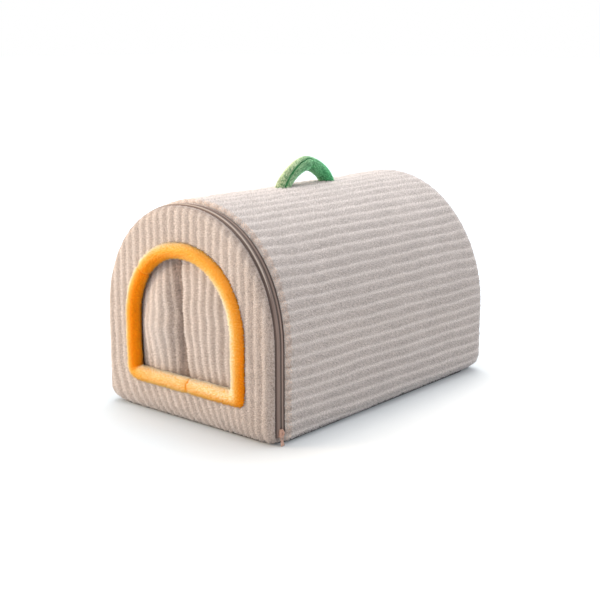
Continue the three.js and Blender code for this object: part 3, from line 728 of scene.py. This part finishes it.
front_faces = patches(len(layers), FRONT_COLUMNS, ring=True) + strip(door_back, door_edge)
panel_plush = plush("door panel plush", **BEIGE, **PANEL_NAP_AND_LIGHT)
front = sewn("front_plush", np.concatenate(layers), front_faces, grown, tones, panel_plush)
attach(front, "root")
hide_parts("front_panel")
front_pile = grow_pile("front_pile", front, panel_plush, spacing=FRONT_PILE_SPACING, seed=13, **FRONT_PILE)
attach(front_pile, "root")


# Zip: two woven tapes sewn into the seam between the front panel and the vault, with a nylon coil shut
# between them. The tapes are ribbed lengthwise. Over the arch a pale corded edge is sewn along the front one.
ZIP_INSET = 0.009
ZIP_END = 0.014
ZIP_BEND = 0.004
TAPE_STATIONS = 360
# Each row of a tape's profile is a share across, a height, a tone at the feet and a tone on the arch. The
# tones
# # paint shade: dark where the tapes run under the front rim and the vault's edge and in the groove by the
# coil,
# # lighter on the raised ribs.
FRONT_TAPE_PROFILE = (
    (0.00, 0.0003, 0.00, 0.00),
    (0.02, 0.0010, 0.00, 0.00),
    (0.25, 0.0010, 0.00, 0.00),
    (0.29, 0.0022, 0.45, 0.15),
    (0.36, 0.0025, 0.65, 0.15),
    (0.42, 0.0022, 0.40, 0.15),
    (0.48, 0.0025, 0.65, 0.15),
    (0.55, 0.0022, 0.40, 0.05),
    (0.62, 0.0026, 0.65, 0.60),
    (0.70, 0.0023, 0.40, 0.40),
    (0.75, 0.0026, 0.65, 0.65),
    (0.81, 0.0026, 0.65, 0.65),
    (0.85, 0.0022, 0.35, 0.35),
    (0.90, 0.0025, 0.55, 0.55),
    (0.95, 0.0020, 0.30, 0.30),
    (1.00, 0.0012, 0.00, 0.00),
    (1.00, 0.0003, 0.00, 0.00),
)
REAR_TAPE_PROFILE = (
    (0.00, 0.0003, 0.00, 0.00),
    (0.02, 0.0010, 0.00, 0.00),
    (0.45, 0.0010, 0.00, 0.00),
    (0.48, 0.0024, 0.60, 0.45),
    (0.52, 0.0029, 0.90, 0.65),
    (0.60, 0.0026, 0.70, 0.40),
    (0.67, 0.0029, 0.90, 0.65),
    (0.72, 0.0022, 0.50, 0.45),
    (0.75, 0.0010, 0.00, 0.10),
    (1.00, 0.0010, 0.00, 0.10),
    (1.00, 0.0003, 0.00, 0.00),
)
TAPE_TUCK = 0.0015
ON_ARCH = {"start": 0.19, "reach": 0.06}
ON_CREST = {"start": 0.275, "reach": 0.07}
CREST_TONE = 0.40
TAPE_DARK = (0.075, 0.048, 0.040, 1)
TAPE_LIGHT = (0.30, 0.215, 0.18, 1)
GRAIN = {"detail": 3.0, "by_tone": 0.5, "centre": 0.25, "raised": 0.35, "height": 0.0003}
EDGE_CORD = {"behind_tape_edge": 0.0040, "height": 0.0028, "radius": 0.0011, "sides": 10}
CORD_TAPER = {"start": 0.215, "reach": 0.05, "least": 0.1}
CORD_DARK = (0.27, 0.22, 0.19, 1)
CORD_LIGHT = (0.56, 0.49, 0.435, 1)
COIL_PITCH = 0.0017
COIL_HALF_WIDTH = 0.0015
COIL_SIDES = 6
COIL_TOOTH = {"foot": 0.0010, "rise": 0.0014, "waist": 0.62, "narrow": 0.8, "swell": 0.2}
COIL_START = 0.015
COIL_DARK = (0.040, 0.029, 0.025, 1)
COIL_LIGHT = (0.11, 0.085, 0.074, 1)


def closed_band(name, line, outward, section, tones, material):
    """A closed piece lofted along a line. Its section says for each corner how far outwards and at what y."""
    rings = np.stack([stood(line + outward * np.reshape(up, (-1, 1)), y) for up, y in section], 1)
    stations, corners = rings.shape[:2]
    tones = np.broadcast_to(tones, (stations, corners)).ravel()
    bare = np.zeros(stations * corners)
    return sewn(name, rings.reshape(-1, 3), tube(stations, corners), bare, tones, material)


def mottled(name, dark, light, scale, roughness, by_tone=False):
    """A finish from dark to light, by the piece's own tone, which paints light and shade, or by a fine noise,
    with a fine grain.
    """
    material, tree, shader = new_material(name)
    place = add_node(tree, "TexCoord", "Object", {})
    grain = add_node(tree, "TexNoise", "Fac", {"Vector": place, "Scale": scale, "Detail": GRAIN["detail"]})
    level = grain
    if by_tone:
        tone = add_node(tree, "Attribute", "Fac", {}, attribute_name="tone")
        centred = add_node(tree, "Math", "Value", {0: tone, 1: GRAIN["centre"]}, operation="SUBTRACT")
        around = {0: grain, 1: GRAIN["by_tone"], 2: centred}
        level = add_node(tree, "Math", "Value", around, operation="MULTIPLY_ADD")
    relief = {"Height": grain, "Strength": GRAIN["raised"], "Distance": GRAIN["height"]}
    raised = add_node(tree, "Bump", "Normal", relief)
    colours = colour_ramp(tree, level, dark, light)
    feed(shader, {"Base Color": colours, "Normal": raised, "Roughness": roughness})
    return material


zip_floor_line = body_arch(0, ZIP_INSET)
zip_length = np.linalg.norm(np.diff(zip_floor_line, axis=0), axis=1).sum()
zip_start = (ZIP_END - vault_low.z + ZIP_BEND) / zip_length
tape_cloth = mottled("taupe zip tape", TAPE_DARK, TAPE_LIGHT, scale=1400.0, roughness=0.8, by_tone=True)
tape_shares = np.linspace(zip_start, 1 - zip_start, TAPE_STATIONS)
front_tape_low, front_tape_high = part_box("zip_tape_front")
rear_tape_low, rear_tape_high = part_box("zip_tape_rear")
tapes = (
    ("zip_tape_front", front_tape_low.y, front_tape_high.y, FRONT_TAPE_PROFILE),
    ("zip_tape_rear", rear_tape_high.y + TAPE_TUCK, rear_tape_low.y, REAR_TAPE_PROFILE),
)
zip_points, zip_outward = along_line(zip_floor_line, tape_shares)
on_arch = part_way(zip_points[:, 1:], **ON_ARCH)
on_crest = CREST_TONE * part_way(zip_points[:, 1:], **ON_CREST)
for node, outer_y, inner_y, profile in tapes:
    across, height, tone, arch_tone = np.array(profile).T
    section = zip(height, outer_y + (inner_y - outer_y) * across)
    # Painted light: the tapes are lighter over the arch and towards the crest, where more light falls.
    tones = tone + (arch_tone - tone) * on_arch
    tones = tones + (1 - tones) * on_crest
    tape = closed_band(f"{node}_cloth", zip_points, zip_outward, section, tones, tape_cloth)
    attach(tape, "root")
    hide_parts(node)

cord_shares = tape_shares[zip_points[:, 1] > CORD_TAPER["start"]]
points, outward = along_line(zip_floor_line, cord_shares)
cord_size = EDGE_CORD["radius"] * part_way(points[:, 1], **CORD_TAPER)
section = []
for turn in np.linspace(0, 2 * math.pi, EDGE_CORD["sides"], endpoint=False):
    up = EDGE_CORD["height"] - EDGE_CORD["radius"] + cord_size * (1 + math.sin(turn))
    section.append((up, front_tape_low.y + EDGE_CORD["behind_tape_edge"] + cord_size * math.cos(turn)))
cord_cloth = mottled("pale corded edge", CORD_DARK, CORD_LIGHT, scale=900.0, roughness=0.9)
edge_cord = closed_band("front_edge_cord", points, outward, section, PLAIN_TONE, cord_cloth)
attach(edge_cord, "root")

coil_low, coil_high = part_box("zip_coil")
coil_y = (coil_low.y + coil_high.y) / 2
coil_start = zip_start + COIL_START / zip_length
teeth = int((1 - zip_start - coil_start) * zip_length / COIL_PITCH)
coil_shares = np.linspace(coil_start, 1 - zip_start, 2 * teeth + 1)
swell = np.where(np.arange(len(coil_shares)) % 2, 1.0, COIL_TOOTH["waist"])
coil_width = COIL_TOOTH["narrow"] + COIL_TOOTH["swell"] * swell
points, outward = along_line(zip_floor_line, coil_shares)
section = []
for turn in np.linspace(0, math.pi, COIL_SIDES):
    up = COIL_TOOTH["foot"] + COIL_TOOTH["rise"] * np.sin(turn) * swell
    section.append((up, coil_y - COIL_HALF_WIDTH * math.cos(turn) * coil_width))
nylon = mottled("zip nylon", COIL_DARK, COIL_LIGHT, scale=2200.0, roughness=0.5)
coil = closed_band("zip_coil_teeth", points, outward, section, PLAIN_TONE, nylon)
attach(coil, "root")
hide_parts("zip_coil")


# Slider: a cast body at the foot of the zip, narrower at the top, with a bridge that a flat pull hangs
# from. Both are enamelled rose beige, a little mottled, and their edges are rounded.
SLIDER_TOP = 0.70
SLIDER_ROUND = 0.0011
END_FACE = 0.9
BRIDGE = {"major_radius": 0.0036, "minor_radius": 0.0010}
BRIDGE_PLACE = {"sunk": 0.0006, "above_middle": 0.0012}
PULL_RING = {"major_radius": 0.0029, "minor_radius": 0.0009}
LOOP_SIDES = {"major_segments": 28, "minor_segments": 10}
PULL_TAB = {"top_width": 0.0050, "bottom_width": 0.0078, "thick": 0.0018, "round": 0.0008, "lean": 0.0016}
TAB_END = {"under_ring": 0.8, "below": 0.001}
ENAMEL_DARK = (0.30, 0.145, 0.10, 1)
ENAMEL_LIGHT = (0.62, 0.40, 0.31, 1)
enamel = mottled("rose beige enamel", ENAMEL_DARK, ENAMEL_LIGHT, scale=420.0, roughness=0.42)


def round_edges(width):
    """Rounds every edge of the piece being edited, and leaves edit mode."""
    bpy.ops.mesh.select_mode(type="EDGE")
    bpy.ops.mesh.select_all(action="SELECT")
    bpy.ops.mesh.bevel(offset=width, segments=3)
    bpy.ops.object.mode_set(mode="OBJECT")


def add_loop(place, turned, size):
    """A round wire loop, standing as it is turned."""
    bpy.ops.mesh.primitive_torus_add(location=place, rotation=turned, **LOOP_SIDES, **size)
    return bpy.context.object


def join_up(name, parts, node):
    """Parts joined into one enamelled piece at the origin, in place of a CAD node."""
    bpy.ops.object.select_all(action="DESELECT")
    for part in parts:
        part.select_set(True)
    bpy.context.view_layer.objects.active = parts[0]
    bpy.ops.object.join()
    bpy.ops.object.transform_apply(location=True, rotation=True, scale=True)
    bpy.ops.object.shade_smooth_by_angle()
    piece = bpy.context.object
    piece.name = name
    piece.data.materials.append(enamel)
    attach(piece, "root")
    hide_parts(node)


slider_low, slider_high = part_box("zip_slider")
slider_middle = (slider_low + slider_high) / 2
slider = add_block(slider_middle, slider_high - slider_low)
choose(slider, "FACE", "polygons", lambda face: face.normal.z > END_FACE)
slider_top = (slider_low.x, slider_middle.y, slider_high.z)
bpy.ops.transform.resize(value=(SLIDER_TOP, SLIDER_TOP, 1), center_override=slider_top)
round_edges(SLIDER_ROUND)
bridge_x, bridge_z = slider_high.x - BRIDGE_PLACE["sunk"], slider_middle.z + BRIDGE_PLACE["above_middle"]
bridge = add_loop((bridge_x, slider_middle.y, bridge_z), (math.pi / 2, 0, 0), BRIDGE)
join_up("zip_slider_body", [slider, bridge], "zip_slider")

pull_low, pull_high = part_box("zip_pull")
ring_z = pull_high.z - PULL_RING["major_radius"]
tab_x, tab_y = pull_high.x + PULL_TAB["lean"] / 2, slider_middle.y
tab_top = ring_z - TAB_END["under_ring"] * PULL_RING["major_radius"]
tab_bottom = pull_low.z - TAB_END["below"]
tab_size = (PULL_TAB["thick"], PULL_TAB["top_width"], tab_top - tab_bottom)
tab = add_block((tab_x, tab_y, (tab_top + tab_bottom) / 2), tab_size)
choose(tab, "FACE", "polygons", lambda face: face.normal.z < -END_FACE)
wider = (1, PULL_TAB["bottom_width"] / PULL_TAB["top_width"], 1)
bpy.ops.transform.resize(value=wider, center_override=(tab_x, tab_y, tab_bottom))
bpy.ops.transform.translate(value=(PULL_TAB["lean"], 0, 0))
round_edges(PULL_TAB["round"])
pull_ring = add_loop((tab_x, tab_y, ring_z), (0, math.pi / 2, 0), PULL_RING)
join_up("zip_pull_tab", [tab, pull_ring], "zip_pull")


# Door flaps: two curtains of the same plush, sewn behind the roll along the top of the doorway and hanging
# free. They meet in a slit that leans to the right, where the left one is tucked behind the right one.
FLAP_THICK = 0.0022
FLAP_REACH = 0.113
FLAP_GROWTH = 0.0126
FLAP_HANG = 0.0168
FLAP_HANG_TURN = 0.87 * math.pi
FLAP_HIGH_BELLY = 0.8
FLAP_HEM_Z = 0.071
FLAP_HELD = 0.13
FLAP_WALE = 0.0155
FLAP_WALE_POINTS = 8
FLAP_ROWS = 56
FLAP_WALE_HEIGHT = 0.0017
FLAP_DRIFT = {"amount": 0.10, "size": 0.08, "seed": 41}
FLAP_CREASE = {"amount": 0.0014, "size": 0.06, "seed": 42}
FLAP_SLACK = {"drop": 0.009, "from_x": 0.045, "blend": 0.05}
FLAP_UNDER_SEAM = 0.0003
FLAP_PILE_SUNK = 0.7
FLAP_PILE_SHARE = 0.9
FLAP_PILE_SPACING = 0.0020
FLAP_NAP_AND_LIGHT = {"at": 0.2, "half_width": 0.24}
FLAP_TONE = {"furrow": 0.40, "nap": 0.60}
FLAP_TURNED_SHADE = {"start": 0.58, "reach": 0.34}
FLAP_PAINTED_HIGHLIGHT = {"share": 0.35, "at": 0.36, "half_width": 0.16}
SLIT = {"top_x": -0.020, "bottom_x": -0.002, "half_gap": 0.0017}
TUCK_FROM = 0.2
LEFT_FLAP = {
    "node": "flap_left", "side": -1, "bulge": 0.017, "bulge_at": 0.44, "edge_turn": 0.007,
    "turned": 1.0, "tuck": 0.016, "cut": 0.112,
}
RIGHT_FLAP = {
    "node": "flap_right", "side": 1, "bulge": 0.008, "bulge_at": 0.50, "edge_turn": -0.008,
    "turned": 0.0, "tuck": 0.0, "cut": 0.133,
}
flap_line = door_arch(FLAP_GROWTH)
flap_right_up = flap_line[: np.argmax(flap_line[:, 1]) + 1]
flap_top_line = flap_right_up[flap_right_up[:, 0].argmax():]
wales = round(FLAP_REACH / FLAP_WALE)
across = np.linspace(0, 1, wales * FLAP_WALE_POINTS + 1)
columns = len(across)
count = FLAP_ROWS * columns
rim = list(range(columns))
rim += [row * columns + columns - 1 for row in range(1, FLAP_ROWS)]
rim += [(FLAP_ROWS - 1) * columns + column for column in range(columns - 2, -1, -1)]
rim += [row * columns for row in range(FLAP_ROWS - 2, -1, -1)]
flap_faces = patches(FLAP_ROWS, columns) + patches(FLAP_ROWS, columns, count)
flap_faces += strip(rim, [count + corner for corner in rim])
for flap in (LEFT_FLAP, RIGHT_FLAP):
    edge_x = flap["side"] * FLAP_REACH
    belly = np.sin(math.pi * skewed(across, flap["bulge_at"]))
    turned = flap["turned"] * part_way(across, **FLAP_TURNED_SHADE)
    painted_lighting = np.exp(-((across - FLAP_PAINTED_HIGHLIGHT["at"]) / FLAP_PAINTED_HIGHLIGHT["half_width"]) ** 2)
    front_side, rear_side, tones = [], [], []
    for drop in np.linspace(0, 1, FLAP_ROWS):
        free = max(drop - FLAP_HELD, 0) / (1 - FLAP_HELD)
        hang = math.sin(FLAP_HANG_TURN * free ** FLAP_HIGH_BELLY)
        slit_x = SLIT["top_x"] + (SLIT["bottom_x"] - SLIT["top_x"]) * drop + flap["side"] * SLIT["half_gap"]
        slit_x += flap["tuck"] * max(hang - TUCK_FROM, 0)
        x = edge_x + (slit_x - edge_x) * across
        plain_x = edge_x + (SLIT["top_x"] + flap["side"] * SLIT["half_gap"] - edge_x) * across
        aside = part_way(np.abs(plain_x), FLAP_SLACK["from_x"], FLAP_SLACK["blend"])
        top = np.interp(-np.abs(plain_x), -flap_top_line[:, 0], flap_top_line[:, 1])
        top = top - FLAP_UNDER_SEAM - FLAP_SLACK["drop"] * aside ** 2
        z = top + (FLAP_HEM_Z - top) * drop
        phase = across * wales + unevenness(x, z, **FLAP_DRIFT) * (hang > 0)
        furrow = FLAP_WALE_HEIGHT * (1 - wale_rise(phase)) * min(drop / (2 * FLAP_HELD), 1)
        y = front_low.y + FLAP_HANG - flap["bulge"] * belly * hang + flap["edge_turn"] * across ** 3 * hang
        y = y + unevenness(x, z, **FLAP_CREASE) * hang + PILE_REACH * FLAP_PILE_SUNK
        front_side.append(np.stack([x, y + furrow, z], 1))
        rear_side.append(np.stack([x, y + FLAP_THICK + FLAP_WALE_HEIGHT, z], 1))
        # Painted light and shade: lighter on the flank of each rib facing the light, painted shade over the
        # left flap's right part where it turns away from the light, and a painted highlight along its belly.
        light = FLAP_TONE["furrow"] + FLAP_TONE["nap"] * nap_and_painted_light(-flap["side"] * phase, **FLAP_NAP_AND_LIGHT)
        tones.append(flap["turned"] * FLAP_PAINTED_HIGHLIGHT["share"] * painted_lighting * hang + light * (1 - turned))
    places = np.concatenate(front_side + rear_side)
    grown = np.repeat([FLAP_PILE_SHARE, 0], count)
    tones = np.concatenate([*tones, np.full(count, PLAIN_TONE)])
    piece = sewn(f"{flap['node']}_cloth", places, flap_faces, grown, tones, panel_plush)
    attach(piece, "root")
    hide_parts(flap["node"])
    name = f"{flap['node']}_pile"
    pile = grow_pile(name, piece, panel_plush, spacing=FLAP_PILE_SPACING, seed=14, **FRONT_PILE)
    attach(pile, "root")


# Door roll: a stuffed tube of short orange plush that edges the doorway, made of two lengths sewn end
# to end. The seams in the sill and the left shoulder draw it in.
ROLL_RADIUS = 0.0123
ROLL_SKIN = 0.0013
ROLL_SINK = 0.003
ROLL_SIDES = 22
ROLL_STATION = 0.004
ROLL_LUMP = {"amount": 0.03, "size": 0.035}
ROLL_SEEDS = {"door_roll_right": 51, "door_roll_left": 52}
ROLL_PILE = {"spacing": 0.0016, "length": 0.0038, "width": 0.00070, "lean": (0, 0, -0.15), "spread": 0.62}
SQUARE_CORNER = 0.009
SILL_SEAM_X = 0.012
SILL_POINTS = {"right": 80, "left": 120}
ARCH_SEAM_Z = 0.241
OFFSET_STEP = 0.001
SEAM_STATIONS = np.array([0.00015, 0.0006, 0.0014, 0.0026, 0.0044, 0.0066])
SEAM_REACH = 0.009
SEAM_WAIST = 0.62
SEAM_FULLNESS = 0.7
SEAM_PAINTED_SHADE = {"reach": 0.003, "least": 0.2}
SEAM_BARE = {"reach": 0.004, "least": 0.25}
# Painted light: the direction the roll's tone is lit from, and how much lighter or darker each part is
# painted.
ROLL_PAINTED_LIGHT_FROM = np.array([-0.74, 0, 0.28])
ROLL_PAINTED_LIGHT = {"middle": 0.47, "left": -0.10, "right": 0.32, "top": -0.04, "sill": 0.24}
LEVEL_RUN = 4
ORANGE = {"root": (0.97, 0.59, 0.18, 1), "tip": (1.0, 0.94, 0.77, 1), "sheen": 0.1, "tuft": 0.09}
ORANGE_PAINTED_LIGHT = {"shade": (1.0, 0.44, 0.008, 1), "middle": (0.98, 0.68, 0.23, 1), "fleck": 0.12}
orange_plush = plush("orange plush", **ORANGE, **ORANGE_PAINTED_LIGHT)


def roll_route(growth):
    """The roll's closed route from the sill seam round by the right, grown outwards from its middle."""
    arch = door_arch(growth, SQUARE_CORNER)
    seam = np.array([[SILL_SEAM_X, arch[0, 1]]])
    to_right = seam + (arch[:1] - seam) * np.linspace(0, 1, SILL_POINTS["right"])[:-1, None]
    to_seam = arch[-1:] + (seam - arch[-1:]) * np.linspace(0, 1, SILL_POINTS["left"])[1:, None]
    return np.concatenate([to_right, arch, to_seam])


roll_line = roll_route(0)
roll_outward = (roll_route(OFFSET_STEP) - roll_route(-OFFSET_STEP)) / (2 * OFFSET_STEP)
roll_run = run_of(roll_line)
on_left = (roll_line[:, 0] < 0) & (roll_line[:, 1] < ARCH_SEAM_Z) & (roll_line[:, 1] > DOOR["spring"])
shoulder_seam = roll_run[np.argmax(on_left)]
lengths = (("door_roll_right", 0.0, shoulder_seam), ("door_roll_left", shoulder_seam, roll_run[-1]))
for node, start, end in lengths:
    seed = ROLL_SEEDS[node]
    plain = np.linspace(start + SEAM_REACH, end - SEAM_REACH, round((end - start) / ROLL_STATION))
    stations = np.concatenate([start + SEAM_STATIONS, plain, (end - SEAM_STATIONS)[::-1]])
    points, outward = at_run(roll_line, roll_run, stations), at_run(roll_outward, roll_run, stations)
    from_seam = np.minimum(stations - start, end - stations)
    rounded = np.sqrt(1 - (1 - part_way(from_seam, reach=SEAM_REACH)) ** 2) ** SEAM_FULLNESS
    drawn_in = SEAM_WAIST + (1 - SEAM_WAIST) * rounded
    # Painted light and shade: the tone is lighter on the right upright, the sill and the side facing the
    # light, darker on the left upright, and painted shade where the seams draw the roll in.
    upright = np.clip(points[:, 0] / DOOR["half_width"], -1, 1)
    sideways = np.where(upright < 0, -ROLL_PAINTED_LIGHT["left"], ROLL_PAINTED_LIGHT["right"])
    painted_brightness = ROLL_PAINTED_LIGHT["middle"] + sideways * upright * np.abs(upright)
    on_top = points[:, 1] > DOOR["spring"]
    painted_brightness += np.where(on_top, ROLL_PAINTED_LIGHT["top"], ROLL_PAINTED_LIGHT["sill"]) * (1 - upright ** LEVEL_RUN)
    rings, tones = [], []
    for turn in np.linspace(0, 2 * math.pi, ROLL_SIDES, endpoint=False):
        lump = 1 + unevenness(stations, turn * ROLL_RADIUS, seed=seed, **ROLL_LUMP)
        radius = (ROLL_RADIUS - ROLL_SKIN) * drawn_in * lump
        spots = points + outward * (radius * math.cos(turn))[:, None]
        rings.append(stood(spots, front_low.y + ROLL_SINK + radius * math.sin(turn)))
        tones.append(painted_brightness + stood(outward * math.cos(turn), math.sin(turn)) @ ROLL_PAINTED_LIGHT_FROM)
    tones = np.stack(tones, 1).clip(0, 1) * part_way(from_seam, **SEAM_PAINTED_SHADE)[:, None]
    grown = np.repeat(part_way(from_seam, **SEAM_BARE), ROLL_SIDES)
    places = np.stack(rings, 1).reshape(-1, 3)
    faces = tube(len(stations), ROLL_SIDES)
    roll = sewn(f"{node}_plush", places, faces, grown, tones.ravel(), orange_plush)
    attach(roll, "root")
    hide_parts(node)
    pile = grow_pile(f"{node}_pile", roll, orange_plush, seed=seed, **ROLL_PILE)
    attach(pile, "root")


# Handle: a stuffed tube of short green plush, closed by a seam along its side and bent into a loop whose
# feet are sewn into the crest.
HANDLE = {"y": 0.017, "half_span": 0.065, "rise": 0.0485, "sunk": 0.014, "exponent": 1.58, "radius": 0.0122}
HANDLE_POINTS = 800
HANDLE_END_TURN = 0.06
HANDLE_STEPS = 90
HANDLE_SIDES = 72
HANDLE_PILE = {"spacing": 0.00125, "length": 0.0024, "width": 0.0007, "lean": (0, 0, 0), "spread": 0.5}
HANDLE_SKIN = 0.001
HANDLE_FOOT_SUNK = 0.004
HANDLE_SWELL = {"amount": 0.02, "waves": 17}
HANDLE_SEAM = {"half_width": math.radians(6.5), "depth": 0.0019, "sharpness": 2}
HANDLE_SEAM_TURNS = {"shares": (0.1, 0.5, 0.9), "degrees": (64, 43, 48)}
HANDLE_BARE = {"start": 0.6, "reach": 1.2}
HANDLE_SLIT = {"at": 0.44, "half_length": 0.075, "depth": 0.0045}
HANDLE_FOLD = {"at": 0.54, "half_length": 0.02, "depth": 0.0028}
HANDLE_FOLD_SIDE = {"from_turn": math.radians(125), "half_width": math.radians(45)}
HANDLE_PAINTED_LIGHT_FROM = np.array([-0.25, -0.80, 0.55])
HANDLE_TONE = {"middle": 0.58, "left_leg": 0.90, "nap": 0.32, "seam": 0.7}
GREEN = {"root": (0.075, 0.215, 0.09, 1), "tip": (0.90, 0.98, 0.66, 1), "sheen": 0.2, "tuft": 0.12}
GREEN_PAINTED_LIGHT = {"shade": (0.18, 1.0, 0.62, 1), "middle": (0.48, 0.95, 0.77, 1), "fleck": 0.40}
GREEN_PATCHES = {"patch_size": 0.009, "patch": 0.22}
green_plush = plush("green plush", **GREEN, **GREEN_PAINTED_LIGHT, **GREEN_PATCHES)


def dip(share, at, half_length, depth):
    """Depth of a short dip at a share of the handle's length."""
    return depth * math.exp(-((share - at) / half_length) ** 2)


def turned_off(turn, from_turn, half_width):
    """How far round the handle a turn lies from another, in half widths."""
    return abs((turn - from_turn + math.pi) % (2 * math.pi) - math.pi) / half_width


handle_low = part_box("handle")[0]
turn = np.linspace(HANDLE_END_TURN, math.pi - HANDLE_END_TURN, HANDLE_POINTS)
power = 2 / HANDLE["exponent"]
handle_reach = np.sign(np.cos(turn)) * np.abs(np.cos(turn)) ** power
handle_climb = HANDLE["rise"] * np.sin(turn) ** power - HANDLE["sunk"]
handle_line = np.stack([-HANDLE["half_span"] * handle_reach, handle_climb], 1)
handle_shares = np.linspace(0, 1, HANDLE_STEPS + 1)
points, inward = along_line(handle_line, handle_shares)
places, grown, tones = [], [], []
for share, (reach, climb), (in_y, in_z) in zip(handle_shares, points, inward):
    seam_turn = math.radians(np.interp(share, HANDLE_SEAM_TURNS["shares"], HANDLE_SEAM_TURNS["degrees"]))
    seam_depth = HANDLE_SEAM["depth"] + dip(share, **HANDLE_SLIT)
    fold = dip(share, **HANDLE_FOLD)
    swell = 1 + HANDLE_SWELL["amount"] * math.sin(HANDLE_SWELL["waves"] * share)
    swell += HANDLE_SWELL["amount"] * math.sin(2 * math.pi * share) ** 2
    centre = np.array([0, HANDLE["y"] + reach, handle_low.z + climb])
    outward = np.array([0, -in_y, -in_z])
    # Painted light and shade: the tone is lighter on the left leg and on the side facing the light, with
    # painted shade in the seam groove.
    painted_lighting = HANDLE_TONE["middle"] + HANDLE_TONE["left_leg"] * (0.5 - share)
    for turn in np.linspace(0, 2 * math.pi, HANDLE_SIDES, endpoint=False):
        away = turned_off(turn, seam_turn, HANDLE_SEAM["half_width"])
        off_fold = turned_off(turn, **HANDLE_FOLD_SIDE)
        groove = seam_depth * math.exp(-HANDLE_SEAM["sharpness"] * away ** 2)
        groove += fold * math.exp(-off_fold ** 2)
        radius = (HANDLE["radius"] - HANDLE_SKIN) * swell - groove
        facing = outward * math.cos(turn) + np.array([math.sin(turn), 0, 0])
        places.append(centre + facing * radius)
        grown.append(part_way(away, **HANDLE_BARE))
        light = painted_lighting + HANDLE_TONE["nap"] * facing @ HANDLE_PAINTED_LIGHT_FROM
        tones.append(light * min(HANDLE_TONE["seam"] * away, 1))
faces = tube(HANDLE_STEPS + 1, HANDLE_SIDES)
handle = sewn("handle_plush", np.array(places), faces, grown, tones, green_plush)
bpy.ops.object.mode_set(mode="EDIT")
bpy.ops.mesh.select_all(action="SELECT")
handle_foot = (0, 0, handle_low.z - HANDLE_FOOT_SUNK)
bpy.ops.mesh.bisect(plane_co=handle_foot, plane_no=(0, 0, 1), use_fill=True, clear_inner=True)
bpy.ops.object.mode_set(mode="OBJECT")
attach(handle, "root")
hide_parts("handle")
handle_pile = grow_pile("handle_pile", handle, green_plush, seed=61, **HANDLE_PILE)
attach(handle_pile, "root")


# Studio: a pale floor, painted darker near the house as a painted shadow, glowing more further out so that it
# # shows white, and tinted cool in front and warm at the side against the lamps' colours; a small warm key
# light
# # from the left of the doorway, a wide warm light from the front, a wide top light and a cooler fill from
# the right.
FLOOR_SIZE = 60.0
FLOOR_PAINTED_SHADOW = (0.69, 0.70, 0.71, 1)
FLOOR_FAR = (0.92, 0.92, 0.92, 1)
FLOOR_NEAR_CENTRE = (-0.12, -0.22, 0)
FLOOR_REACH = {"From Min": 0.30, "From Max": 0.80}
FLOOR_FRONT_TINT = (0.955, 1.045, 1.12, 1)
FLOOR_SIDE_TINT = (1.06, 1.04, 1.01, 1)
FLOOR_SIDE = {"From Min": 0.02, "From Max": 0.32}
FLOOR_GLOW = {"From Min": 0.8, "From Max": 2.5, "To Max": 0.36}
FLOOR_FINISH = {"Emission Color": (1, 1, 1, 1), "Roughness": 1.0}
LIGHTS = (
    {"name": "key", "place": (-1.0, -1.35, 0.70), "size": 0.6, "power": 17.0, "colour": (1.0, 0.76, 0.53)},
    {"name": "front", "place": (0.5, -3.2, 0.9), "size": 2.5, "power": 19.0, "colour": (1.0, 0.74, 0.50)},
    {"name": "top", "place": (-0.40, 0.38, 2.6), "size": 2.0, "power": 57.0, "colour": (1.0, 0.99, 0.97)},
    {"name": "fill", "place": (2.6, -0.6, 1.2), "size": 2.0, "power": 12.0, "colour": (0.86, 0.92, 1.0)},
)
LIGHTS_AIM = Vector((0, 0, 0.15))
SKY = {"Color": (0.92, 0.96, 1.0, 1), "Strength": 0.82}
BACKDROP = {"Color": (1.0, 1.0, 1.0, 1)}
bpy.ops.mesh.primitive_plane_add(size=FLOOR_SIZE)
floor = bpy.context.object
floor.name = "studio_floor"
painted_floor, tree, shader = new_material("floor white")
place = add_node(tree, "TexCoord", "Object", {})
from_centre = add_node(tree, "VectorMath", "Vector", {0: place, 1: FLOOR_NEAR_CENTRE}, operation="SUBTRACT")
away = add_node(tree, "VectorMath", "Value", {0: from_centre}, operation="LENGTH")
outwards = add_node(tree, "MapRange", "Result", {"Value": away, **FLOOR_REACH})
glow = add_node(tree, "MapRange", "Result", {"Value": away, **FLOOR_GLOW})
to_right = add_node(tree, "SeparateXYZ", "X", {"Vector": place})
to_side = add_node(tree, "MapRange", "Result", {"Value": to_right, **FLOOR_SIDE})
tones = colour_ramp(tree, outwards, FLOOR_PAINTED_SHADOW, FLOOR_FAR)
tints = colour_ramp(tree, to_side, FLOOR_FRONT_TINT, FLOOR_SIDE_TINT)
tinted = add_node(tree, "VectorMath", "Vector", {0: tones, 1: tints}, operation="MULTIPLY")
feed(shader, {"Base Color": tinted, "Emission Strength": glow, **FLOOR_FINISH})
floor.data.materials.append(painted_floor)
floor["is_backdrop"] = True
for light in LIGHTS:
    aim = (LIGHTS_AIM - Vector(light["place"])).to_track_quat("-Z", "Y").to_euler()
    bpy.ops.object.light_add(type="AREA", location=light["place"], rotation=aim)
    lamp = bpy.context.object
    lamp.name = light["name"]
    lamp.data.size = light["size"]
    lamp.data.energy = light["power"]
    lamp.data.color = light["colour"]
studio = bpy.data.worlds.new("studio")
bpy.context.scene.world = studio
studio.use_nodes = True
tree = studio.node_tree
feed(tree.nodes["Background"], SKY)
backdrop = add_node(tree, "Background", "Background", BACKDROP)
seen = add_node(tree, "LightPath", "Is Camera Ray", {})
sides = {"Fac": seen, 1: tree.nodes["Background"].outputs["Background"], 2: backdrop}
feed(tree.nodes["World Output"], {"Surface": add_node(tree, "MixShader", "Shader", sides)})
bpy.context.scene.view_settings.view_transform = "Standard"

low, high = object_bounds()
